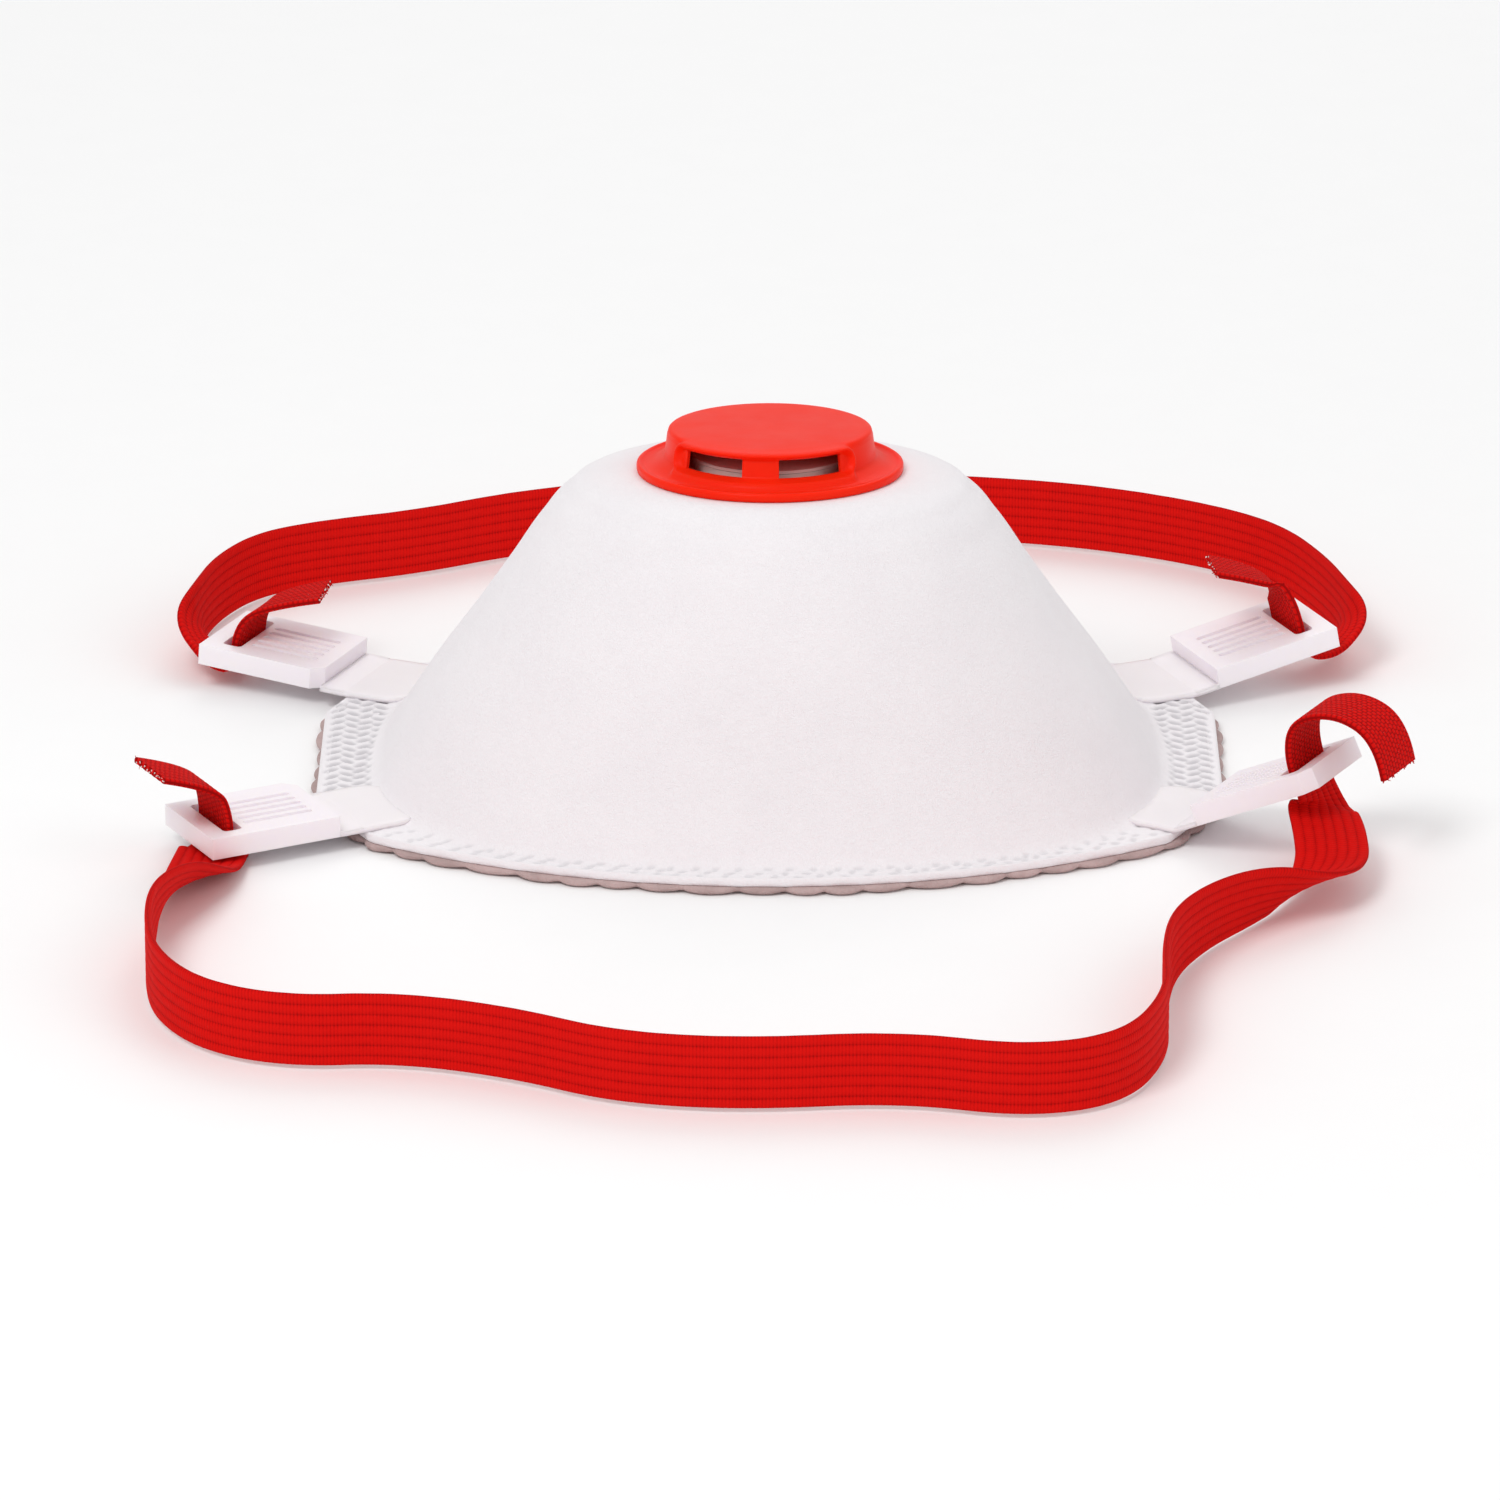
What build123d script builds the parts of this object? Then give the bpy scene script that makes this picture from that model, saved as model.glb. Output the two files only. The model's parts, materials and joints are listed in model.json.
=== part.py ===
from build123d import *
import os
from math import cos, pi, radians, sin, tan

# Moulded cup respirator with an exhalation valve, lying on its face seal.
# Millimetres. +Z up out of the valve, +X the wearer's left, +Y the nose side, -Y the chin side.
# Origin: on the resting plane, straight below the centre of the valve.

os.makedirs("parts", exist_ok=True)

# ---- driving dimensions ----

# Flange, the flat welded rim round the face opening
FLANGE_HALF_WIDTH = 75.0
FLANGE_CHIN = 56.0
FLANGE_NOSE = 60.0
SIDE_FRONT_Y = -18.0
SIDE_BACK_Y = 22.0
FRONT_CUT = (9.5, 18.0)
BACK_CUT = (10.0, 23.0)
NOSE_SHOULDER = (52.0, 47.5)
NOSE_HALF_FLAT = 20.0
CORNER_RADIUS = 4.0
NOSE_RADIUS = 14.0

# Cup
CUP_HALF_WIDTH = 67.5
CUP_HEIGHT = 53.5
PLATEAU_RADIUS = 25.5
CUP_CENTRE_Y = -6.0
CHIN_REACH = 46.5
NOSE_REACH = 61.0
CHIN_SQUARENESS = 0.5
NOSE_SQUARENESS = 1.0
OUTLINE_POINTS = 32

# Layers from the outside in: node, wall thickness in the cup, thickness in the welded flange
LAYERS = [
    ("outer_cover", 0.6, 0.40),
    ("prefilter_layer", 0.6, 0.25),
    ("filter_layer", 0.5, 0.25),
    ("support_shell", 0.9, 0.45),
    ("inner_liner", 0.3, 0.20),
]
LAYER_GAP = 0.1

# Face seal
SEAL_THICKNESS = 1.2
SEAL_OVERHANG = 0.5
SEAL_REACH = 12.0

# Nose clip outside the cup and nose foam inside it
NOSE_GAP = 0.1
CLIP_WIDTH = 5.0
CLIP_THICKNESS = 0.9
CLIP_SPAN = 84.0
CLIP_HEIGHT = 8.5
FOAM_WIDTH = 10.0
FOAM_THICKNESS = 4.0
FOAM_SPAN = 76.0
FOAM_HEIGHT = 9.0

# Exhalation valve
VALVE_TILT = 4.5
VALVE_TURN = -5.4
BORE_RADIUS = 11.5
COLLAR_WALL = 1.3
COLLAR_CLEARANCE = 0.2
COLLAR_STAND = 0.2
BASE_FLANGE_RADIUS = 18.8
BASE_FLANGE_THICKNESS = 0.85
BASE_GAP = 0.05
SEAT_HEIGHT = 2.4
SPOKE_WIDTH = 1.2
SPOKE_DEPTH = 1.3
HUB_RADIUS = 2.0
COVER_RADIUS = 22.1
COVER_TOP_RADIUS = 16.9
COVER_HEIGHT = 7.3
COVER_WALL = 1.2
LIP_HEIGHT = 1.5
WINDOW_LOW = 3.3
WINDOW_TALL = 2.7
WINDOW_START = 10.5
WINDOW_END = 49.0
FLAP_THICKNESS = 0.5
FLAP_GAP = 0.1
TONGUE_HALF_WIDTH = 3.5
FLAP_HINGE_Y = 14.4
RING_RADIUS = 17.5
RING_THICKNESS = 1.2
RING_FIT = 0.05

# Strap buckles, each a thick frame on a thin welded tab
BUCKLE_WIDTH = 18.5
BUCKLE_LENGTH = 23.0
BUCKLE_THICKNESS = 3.6
WEB_LENGTH = 4.6
TAB_LENGTH = 13.0
TAB_THICKNESS = 0.8
TAB_CLEARANCE = 0.3
HINGE_GAP = 0.25
HINGE_OUTSIDE = 0.4
OUTER_BAR = 3.2
SLOT_LENGTH = 3.4
STRAP_SIDE_ROOM = 0.8
GROOVE_COUNT = 5
GROOVE_PITCH = 2.2
GROOVE_WIDTH = 1.1
GROOVE_DEPTH = 0.6
GROOVE_LENGTH = 12.5
BUCKLE_CORNER = 2.0
BACK_TAB_SHIFT = 4.3

# Lift of each frame out of the flange's plane, as the straps hold it: node prefix, side, lift
FRONT_BUCKLES = [("lower_right", -1, 0.0), ("lower_left", 1, 25.0)]
BACK_BUCKLES = [("upper_right", -1, 4.0), ("upper_left", 1, 11.0)]

# Straps
STRAP_WIDTH = 12.0
STRAP_THICKNESS = 1.1
STATION_SPACING = 3.0
FILLET_SHARE = 0.45

# ---- derived sizes ----

FLANGE_TOP = SEAL_THICKNESS + sum(flange for _, _, flange in LAYERS)
WALL_TOTAL = sum(wall for _, wall, _ in LAYERS) + LAYER_GAP * (len(LAYERS) - 1)
COLLAR_RADIUS = BORE_RADIUS + COLLAR_WALL
CUP_HOLE_RADIUS = COLLAR_RADIUS + COLLAR_CLEARANCE
FRONT_CORNER = (FLANGE_HALF_WIDTH - FRONT_CUT[0], SIDE_FRONT_Y - FRONT_CUT[1])
BACK_CORNER = (FLANGE_HALF_WIDTH - BACK_CUT[0], SIDE_BACK_Y + BACK_CUT[1])
TILT_SIN, TILT_COS = sin(radians(VALVE_TILT)), cos(radians(VALVE_TILT))
TURN_SIN, TURN_COS = sin(radians(VALVE_TURN)), cos(radians(VALVE_TURN))
VALVE_PLANE = Plane(
    origin=(0, 0, CUP_HEIGHT),
    x_dir=(TURN_COS, TURN_SIN * TILT_COS, -TURN_SIN * TILT_SIN),
    z_dir=(0, TILT_SIN, TILT_COS),
)


def save(part, node):
    """Names a finished piece and writes its STEP file."""
    part.label = node
    export_step(part, f"parts/{node}.step")


# ---- outlines of the cup and the flange ----

# Share of the cup's height, then shares of its half width, chin reach and nose reach there
CUP_LEVELS = [
    (-0.06, 1.030, 1.020, 1.020),
    (0.00, 1.000, 1.000, 1.000),
    (0.15, 0.923, 0.935, 0.934),
    (0.32, 0.840, 0.882, 0.852),
    (0.51, 0.738, 0.839, 0.754),
    (0.69, 0.644, 0.785, 0.664),
    (0.84, 0.567, 0.720, 0.582),
    (0.935, 0.503, 0.656, 0.516),
    (0.985, 0.437, 0.591, 0.459),
]


def cup_outline(share, half_width, chin, nose, inset):
    """One closed outline of the cup at a share of its height, moved inward by inset."""
    climb = max(share, 0)
    tilt = radians(VALVE_TILT * climb**2)
    centre = Vector(0, CUP_CENTRE_Y * (1 - share), CUP_HEIGHT * share - inset * climb**3)
    points = []
    for step in range(OUTLINE_POINTS):
        angle = 2 * pi * step / OUTLINE_POINTS
        if sin(angle) > 0:
            reach, power = nose, 2 + NOSE_SQUARENESS * (1 - share)
        else:
            reach, power = chin, 2 + CHIN_SQUARENESS * (1 - share)
        shape = abs(cos(angle) / half_width) ** power + abs(sin(angle) / reach) ** power
        radius = shape ** (-1 / power) - inset
        points.append((radius * cos(angle), radius * sin(angle)))
    level = Plane(origin=centre, x_dir=(1, 0, 0), z_dir=(0, sin(tilt), cos(tilt)))
    with BuildSketch(level) as outline:
        with BuildLine():
            Spline(*points, periodic=True)
        make_face()
    return outline.sketch


def cup_body(inset, mode=Mode.ADD):
    """The solid inside one surface of the cup, from below the flange to the valve's plateau."""
    outlines = []
    for share, width_share, chin_share, nose_share in CUP_LEVELS:
        half_width, chin = CUP_HALF_WIDTH * width_share, CHIN_REACH * chin_share
        outlines.append(cup_outline(share, half_width, chin, NOSE_REACH * nose_share, inset))
    outlines.append(cup_outline(1.0, PLATEAU_RADIUS, PLATEAU_RADIUS, PLATEAU_RADIUS, inset))
    loft(outlines, mode=mode)


def flange_outline(height, grow=0.0):
    """The rim's outline: round chin, straight sides, corners cut square to the buckles, raised nose."""
    front_x, front_y = FRONT_CORNER
    right_side = [
        FRONT_CORNER,
        (FLANGE_HALF_WIDTH, SIDE_FRONT_Y),
        (FLANGE_HALF_WIDTH, SIDE_BACK_Y),
        BACK_CORNER,
        NOSE_SHOULDER,
        (NOSE_HALF_FLAT, FLANGE_NOSE),
    ]
    left_side = [(-x, y) for x, y in reversed(right_side)]
    nose_limit = (BACK_CORNER[1] + NOSE_SHOULDER[1]) / 2
    with BuildSketch(Plane.XY.offset(height)) as outline:
        with BuildLine():
            ThreePointArc((-front_x, front_y), (0, -FLANGE_CHIN), (front_x, front_y))
            Polyline(*right_side, *left_side)
        make_face()
        fillet([v for v in vertices() if v.Y > nose_limit], radius=NOSE_RADIUS)
        fillet([v for v in vertices() if v.Y < nose_limit], radius=CORNER_RADIUS)
        if grow:
            offset(amount=grow)
    return outline.sketch


# ---- filter layers, each a cup with its own share of the flange ----

inset = 0.0
top = FLANGE_TOP
for node, wall, flange in LAYERS:
    with BuildPart() as layer:
        cup_body(inset)
        split(bisect_by=Plane.XY.offset(top - flange), keep=Keep.TOP)
        extrude(flange_outline(top - flange), amount=flange)
        cup_body(inset + wall, mode=Mode.SUBTRACT)
        with BuildSketch(VALVE_PLANE):
            Circle(CUP_HOLE_RADIUS)
        extrude(amount=2 * WALL_TOTAL, both=True, mode=Mode.SUBTRACT)
    save(layer.part, node)
    inset += wall + LAYER_GAP
    top -= flange

# ---- face seal, a soft ring under the flange that reaches into the opening ----

with BuildPart() as face_seal:
    extrude(flange_outline(0, grow=SEAL_OVERHANG), amount=SEAL_THICKNESS)
    opening = cup_outline(0, CUP_HALF_WIDTH, CHIN_REACH, NOSE_REACH, SEAL_REACH)
    extrude(opening, amount=SEAL_THICKNESS, mode=Mode.SUBTRACT)
save(face_seal.part, "face_seal")


# ---- nose clip and nose foam, strips that follow the cup across the nose ----


def nose_strip(outer, inner, width, span, height):
    """The part of the space between two cup surfaces that a strip across the nose takes up."""
    cup_body(outer)
    cup_body(inner, mode=Mode.SUBTRACT)
    with BuildSketch(Plane.XY.offset(height - width / 2)) as band:
        with Locations((0, NOSE_REACH)):
            Rectangle(span, 2 * NOSE_REACH)
    extrude(band.sketch, amount=width, mode=Mode.INTERSECT)


with BuildPart() as nose_clip:
    nose_strip(-NOSE_GAP - CLIP_THICKNESS, -NOSE_GAP, CLIP_WIDTH, CLIP_SPAN, CLIP_HEIGHT)
save(nose_clip.part, "nose_clip")

inside = WALL_TOTAL + NOSE_GAP
with BuildPart() as nose_foam:
    nose_strip(inside, inside + FOAM_THICKNESS, FOAM_WIDTH, FOAM_SPAN, FOAM_HEIGHT)
save(nose_foam.part, "nose_foam")

# ---- exhalation valve, built about its own axis and then set on the plateau ----


def on_valve_axis(builder):
    return builder.part.moved(VALVE_PLANE.offset(BASE_GAP).location)


def turned(*profile):
    """A solid of revolution about Z from a closed profile of (radius, height) points."""
    with BuildSketch(Plane.XZ) as section:
        with BuildLine():
            Polyline(*profile, close=True)
        make_face()
    revolve(section.sketch, axis=Axis.Z)


collar_bottom = -(WALL_TOTAL + COLLAR_STAND + RING_THICKNESS)
with BuildPart() as valve_base:
    turned(
        (BORE_RADIUS, collar_bottom),
        (COLLAR_RADIUS, collar_bottom),
        (COLLAR_RADIUS, 0),
        (BASE_FLANGE_RADIUS, 0),
        (BASE_FLANGE_RADIUS, BASE_FLANGE_THICKNESS),
        (COLLAR_RADIUS, BASE_FLANGE_THICKNESS),
        (COLLAR_RADIUS, SEAT_HEIGHT),
        (BORE_RADIUS, SEAT_HEIGHT),
    )
    with BuildSketch(Plane.XY.offset(BASE_FLANGE_THICKNESS - SPOKE_DEPTH)):
        spoke_reach = BORE_RADIUS + COLLAR_WALL / 2
        Rectangle(2 * spoke_reach, SPOKE_WIDTH)
        Rectangle(SPOKE_WIDTH, 2 * spoke_reach)
        Circle(HUB_RADIUS)
    extrude(amount=SPOKE_DEPTH)
    with BuildSketch():
        with Locations((0, FLAP_HINGE_Y - TONGUE_HALF_WIDTH / 4)):
            Rectangle(2 * TONGUE_HALF_WIDTH, TONGUE_HALF_WIDTH)
    extrude(amount=SEAT_HEIGHT)
save(on_valve_axis(valve_base), "valve_base")

cover_step = COVER_TOP_RADIUS + 0.5
inner_step = cover_step - COVER_WALL
with BuildPart() as valve_cover:
    turned(
        (BASE_FLANGE_RADIUS + RING_FIT, 0),
        (COVER_RADIUS, 0),
        (COVER_RADIUS, LIP_HEIGHT),
        (COVER_RADIUS - 0.8, LIP_HEIGHT),
        (COVER_RADIUS - 1.1, LIP_HEIGHT - 0.4),
        (COVER_RADIUS - 2.2, LIP_HEIGHT - 0.2),
        (COVER_TOP_RADIUS + 1.3, WINDOW_LOW - 0.7),
        (cover_step, WINDOW_LOW - 0.3),
        (COVER_TOP_RADIUS, COVER_HEIGHT - 0.6),
        (COVER_TOP_RADIUS - 0.6, COVER_HEIGHT),
        (0, COVER_HEIGHT),
        (0, COVER_HEIGHT - COVER_WALL),
        (COVER_TOP_RADIUS - COVER_WALL, COVER_HEIGHT - COVER_WALL),
        (inner_step, WINDOW_LOW - 0.3),
        (BASE_FLANGE_RADIUS + RING_FIT, BASE_FLANGE_THICKNESS + RING_FIT),
    )
    for side in (-1, 1):
        edges_at = [radians(-90 + side * angle) for angle in (WINDOW_START, WINDOW_END)]
        with BuildSketch(Plane.XY.offset(WINDOW_LOW)) as window:
            with BuildLine():
                Polyline(
                    *[(inner_step * 0.9 * cos(a), inner_step * 0.9 * sin(a)) for a in edges_at],
                    *[(COVER_RADIUS * cos(a), COVER_RADIUS * sin(a)) for a in reversed(edges_at)],
                    close=True,
                )
            make_face()
            fillet(window.vertices(), radius=0.8)
        extrude(window.sketch, amount=WINDOW_TALL, mode=Mode.SUBTRACT)
save(on_valve_axis(valve_cover), "valve_cover")

flap_bottom = SEAT_HEIGHT + FLAP_GAP
with BuildPart() as valve_flap:
    with BuildSketch(Plane.XY.offset(flap_bottom)):
        Circle(COLLAR_RADIUS + FLAP_GAP)
        with Locations((0, FLAP_HINGE_Y / 2)):
            Rectangle(2 * TONGUE_HALF_WIDTH, FLAP_HINGE_Y)
    extrude(amount=FLAP_THICKNESS)
save(on_valve_axis(valve_flap), "valve_flap")

with BuildPart() as retaining_ring:
    turned(
        (COLLAR_RADIUS + RING_FIT, collar_bottom),
        (RING_RADIUS, collar_bottom),
        (RING_RADIUS, collar_bottom + RING_THICKNESS),
        (COLLAR_RADIUS + RING_FIT, collar_bottom + RING_THICKNESS),
    )
save(on_valve_axis(retaining_ring), "valve_retaining_ring")

# ---- strap buckles ----

front_middle = (FLANGE_HALF_WIDTH - FRONT_CUT[0] / 2, SIDE_FRONT_Y - FRONT_CUT[1] / 2)
back_middle = (FLANGE_HALF_WIDTH - BACK_CUT[0] / 2, SIDE_BACK_Y + BACK_CUT[1] / 2)
front_heading = Vector(FRONT_CUT[1], -FRONT_CUT[0]).normalized()
back_heading = Vector(BACK_CUT[1], BACK_CUT[0]).normalized()
slot_middle = WEB_LENGTH + BUCKLE_LENGTH - OUTER_BAR - SLOT_LENGTH / 2


def buckle_plane(middle, heading, side, shift, lift):
    """The plane of a buckle's hinge line: X outward along the buckle, Z out of its ribbed face."""
    along_cut = Vector(-heading.Y, heading.X)
    at = Vector(*middle) + heading * HINGE_OUTSIDE + along_cut * shift
    flat, rise = cos(radians(lift)), sin(radians(lift))
    outward = Vector(side * heading.X * flat, heading.Y * flat, rise)
    upward = Vector(-side * heading.X * rise, -heading.Y * rise, flat)
    height = FLANGE_TOP + TAB_THICKNESS / 2
    return Plane(origin=(side * at.X, at.Y, height), x_dir=outward, z_dir=upward)


def buckle_tab(node, plane):
    """The thin tab welded on the flange, with a round inner end that stops at the cup's foot."""
    with BuildPart() as tab:
        with BuildSketch(plane.offset(-TAB_THICKNESS / 2)):
            with Locations((-HINGE_GAP - TAB_LENGTH / 2, 0)):
                Rectangle(TAB_LENGTH, BUCKLE_WIDTH)
            inner_end = vertices().group_by(Axis((0, 0, 0), plane.x_dir))[0]
            fillet(inner_end, radius=BUCKLE_WIDTH * 0.35)
        extrude(amount=TAB_THICKNESS)
        cup_body(-TAB_CLEARANCE, mode=Mode.SUBTRACT)
    save(tab.part, node)


def buckle_frame(node, plane):
    """The thick frame with its web, strap slot and finger grooves."""
    bottom = -TAB_THICKNESS / 2
    body_middle = WEB_LENGTH + BUCKLE_LENGTH / 2
    with BuildPart() as frame:
        with BuildSketch(plane.offset(bottom)):
            with Locations(((HINGE_GAP + WEB_LENGTH) / 2, 0)):
                Rectangle(WEB_LENGTH - HINGE_GAP, BUCKLE_WIDTH)
        extrude(amount=TAB_THICKNESS)
        with BuildSketch(plane.offset(bottom)):
            with Locations((body_middle, 0)):
                Rectangle(BUCKLE_LENGTH, BUCKLE_WIDTH)
            outer_end = vertices().group_by(Axis((0, 0, 0), plane.x_dir))[-1]
            chamfer(outer_end, length=BUCKLE_CORNER)
        extrude(amount=BUCKLE_THICKNESS)
        with BuildSketch(plane.offset(bottom)):
            with Locations((slot_middle, 0)):
                RectangleRounded(SLOT_LENGTH, STRAP_WIDTH + 2 * STRAP_SIDE_ROOM, 0.8)
        extrude(amount=BUCKLE_THICKNESS, mode=Mode.SUBTRACT)
        groove_end = slot_middle - SLOT_LENGTH / 2 - GROOVE_WIDTH
        with BuildSketch(plane.offset(bottom + BUCKLE_THICKNESS)):
            with Locations((groove_end - GROOVE_LENGTH / 2, 0)):
                with GridLocations(0, GROOVE_PITCH, 1, GROOVE_COUNT):
                    SlotOverall(GROOVE_LENGTH, GROOVE_WIDTH)
        extrude(amount=-GROOVE_DEPTH, mode=Mode.SUBTRACT)
    save(frame.part, node)


buckles = {}
for name, side, lift in FRONT_BUCKLES:
    flat = buckle_plane(front_middle, front_heading, side, 0, 0)
    buckles[name] = buckle_plane(front_middle, front_heading, side, 0, lift)
    buckle_tab(f"{name}_tab", flat)
    buckle_frame(f"{name}_buckle", buckles[name])
for name, side, lift in BACK_BUCKLES:
    flat = buckle_plane(back_middle, back_heading, side, BACK_TAB_SHIFT, 0)
    buckles[name] = buckle_plane(back_middle, back_heading, side, BACK_TAB_SHIFT, lift)
    buckle_tab(f"{name}_tab", flat)
    buckle_frame(f"{name}_buckle", buckles[name])

# ---- straps, flat woven elastic that runs through a buckle's slot at each end ----


def in_slot(name, *heights, flip=1):
    """Points of a route through the middle of a buckle's slot, at heights above its hinge line."""
    plane = buckles[name]
    return [(plane.from_local_coords((slot_middle, 0, z)), plane.y_dir * flip) for z in heights]


def strap(node, route):
    """A flat strap along a route of (point, direction of the width there), in plain flat facets."""
    points = [Vector(*at) for at, _ in route]
    widths = [Vector(*width).normalized() for _, width in route]
    runs = [end - start for start, end in zip(points, points[1:])]
    turns = [radians(before.get_angle(after)) for before, after in zip(runs, runs[1:])]
    setbacks = [FILLET_SHARE * min(a.length, b.length) for a, b in zip(runs, runs[1:])]
    radii = [setback / tan(turn / 2) for setback, turn in zip(setbacks, turns)]
    with BuildLine() as line:
        FilletPolyline(*points, radius=radii)
    path = line.wire()

    # Marks at both ends of every straight: distance along the path and width direction
    marks = []
    travelled = 0.0
    for index, run in enumerate(runs):
        cut_before = setbacks[index - 1] if index else 0.0
        cut_after = setbacks[index] if index < len(setbacks) else 0.0
        straight = run.length - cut_before - cut_after
        turning = widths[index + 1] - widths[index]
        marks.append((travelled, widths[index] + turning * (cut_before / run.length)))
        travelled += straight
        marks.append((travelled, widths[index + 1] - turning * (cut_after / run.length)))
        if index < len(turns):
            travelled += radii[index] * turns[index]

    sections = []
    for (start, first), (end, last) in zip(marks, marks[1:]):
        steps = max(1, round((end - start) / STATION_SPACING))
        for step in range(steps):
            share = step / steps
            sections.append((start + (end - start) * share, first + (last - first) * share))
    sections.append(marks[-1])
    corners = []
    for distance, width in sections:
        middle = path.position_at(distance, position_mode=PositionMode.LENGTH)
        along = path.tangent_at(distance, position_mode=PositionMode.LENGTH)
        across = (width - along * width.dot(along)).normalized() * (STRAP_WIDTH / 2)
        up = along.cross(across).normalized() * (STRAP_THICKNESS / 2)
        left, right = middle - across, middle + across
        corners.append([right + up, left + up, left - up, right - up])
    facets = [(corners[0][0], corners[0][1], corners[0][2]), (corners[0][0], corners[0][2], corners[0][3])]
    for here, there in zip(corners, corners[1:]):
        for side in range(4):
            after = (side + 1) % 4
            facets.append((here[side], there[side], there[after]))
            facets.append((here[side], there[after], here[after]))
    facets.append((corners[-1][0], corners[-1][2], corners[-1][1]))
    facets.append((corners[-1][0], corners[-1][3], corners[-1][2]))
    faces = [Face(Wire.make_polygon(facet, close=True)) for facet in facets]
    ribbon = Solid(Shell(faces))
    save(ribbon, node)
    section = STRAP_WIDTH * STRAP_THICKNESS
    print(node, "bend radii", [round(radius, 1) for radius in radii])
    print(node, "length", round(path.length, 1), "facets", len(faces))
    print(node, "volume over section times length", round(ribbon.volume / (section * path.length), 3))
    print(node, "lowest", round(ribbon.bounding_box().min.Z, 2))


# Ends hang loose above their buckles, and both long runs stand on edge round the mask
EDGE_ON = (0, 0, 1)
EDGE_Z = STRAP_WIDTH / 2 + 0.4
lower_strap_route = [
    ((-101, -43.2, 16.5), (0.467, -0.884, 0)),
    ((-92.5, -38.7, 13.5), (0.467, -0.884, 0)),
    *in_slot("lower_right", 5.6, -1.9),
    ((-91.2, -41.0, 1.3), (1, -0.2, 0)),
    ((-92, -48, 1.5), (1, -0.1, 0)),
    ((-93.5, -57, 3.0), (1, 0, 0.3)),
    ((-96.5, -69, 5.9), (0.6, 0, 0.8)),
    ((-98.5, -82, EDGE_Z), EDGE_ON),
    ((-98.8, -97, EDGE_Z), EDGE_ON),
    ((-96.5, -112, EDGE_Z), EDGE_ON),
    ((-88.5, -125, EDGE_Z), EDGE_ON),
    ((-75, -131.5, EDGE_Z), EDGE_ON),
    ((-58, -130, EDGE_Z), EDGE_ON),
    ((-40, -136, EDGE_Z), EDGE_ON),
    ((-24, -146, EDGE_Z), EDGE_ON),
    ((-4, -149, EDGE_Z), EDGE_ON),
    ((20, -146, EDGE_Z), EDGE_ON),
    ((40, -152, EDGE_Z), EDGE_ON),
    ((55, -146, EDGE_Z), EDGE_ON),
    ((62, -128, EDGE_Z), EDGE_ON),
    ((62, -110, EDGE_Z), EDGE_ON),
    ((64, -94, EDGE_Z), EDGE_ON),
    ((70, -82, EDGE_Z), (0.1, 0, 1)),
    ((78, -73, 6.1), (0.4, 0, 0.9)),
    ((87, -65, 4.6), (0.8, -0.3, 0.5)),
    ((91.5, -55, 5), (1, 0, 0.1)),
    ((91.3, -46, 7), (1, 0.2, 0)),
    ((90.5, -39.5, 8.2), (0.8, 0.6, 0)),
    *in_slot("lower_left", -4, 5.5),
    ((87.5, -36, 24.5), (0.467, 0.884, 0)),
    ((94.5, -39.8, 27), (0.467, 0.884, 0)),
    ((101, -43.3, 23.5), (0.467, 0.884, 0)),
    ((102.3, -44, 17), (0.467, 0.884, 0)),
]
strap("lower_strap", lower_strap_route)

upper_strap_route = [
    ((-76, 45, 16), (-0.399, -0.917, 0)),
    ((-83.5, 46, 14.6), (-0.399, -0.917, 0)),
    *in_slot("upper_right", 6.5, -2.2),
    ((-93.8, 48.6, 3.1), (-0.399, -0.917, 0)),
    ((-98, 52, 5.3), (-0.6, -0.5, 0.5)),
    ((-99, 60, EDGE_Z), EDGE_ON),
    ((-96, 74, EDGE_Z), EDGE_ON),
    ((-89.5, 86, EDGE_Z), EDGE_ON),
    ((-78, 92.5, EDGE_Z), EDGE_ON),
    ((-62, 98, EDGE_Z), EDGE_ON),
    ((-45, 108, EDGE_Z), EDGE_ON),
    ((-26, 114, EDGE_Z), EDGE_ON),
    ((0, 117, EDGE_Z), EDGE_ON),
    ((26, 117.5, EDGE_Z), EDGE_ON),
    ((46, 114.5, EDGE_Z), EDGE_ON),
    ((62, 109.5, EDGE_Z), EDGE_ON),
    ((78, 101, EDGE_Z), EDGE_ON),
    ((89.5, 90.5, EDGE_Z), EDGE_ON),
    ((96, 75, EDGE_Z), EDGE_ON),
    ((99.5, 61, EDGE_Z), EDGE_ON),
    ((98.5, 52.5, 5.9), (0.6, -0.5, 0.5)),
    ((94.3, 48.5, 4.8), (0.399, -0.917, 0)),
    *in_slot("upper_left", -2, 6.5, flip=-1),
    ((85, 48, 18), (0.399, -0.917, 0)),
    ((75.5, 47, 20), (0.399, -0.917, 0)),
]
strap("upper_strap", upper_strap_route)
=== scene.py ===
import json
import math

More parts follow.
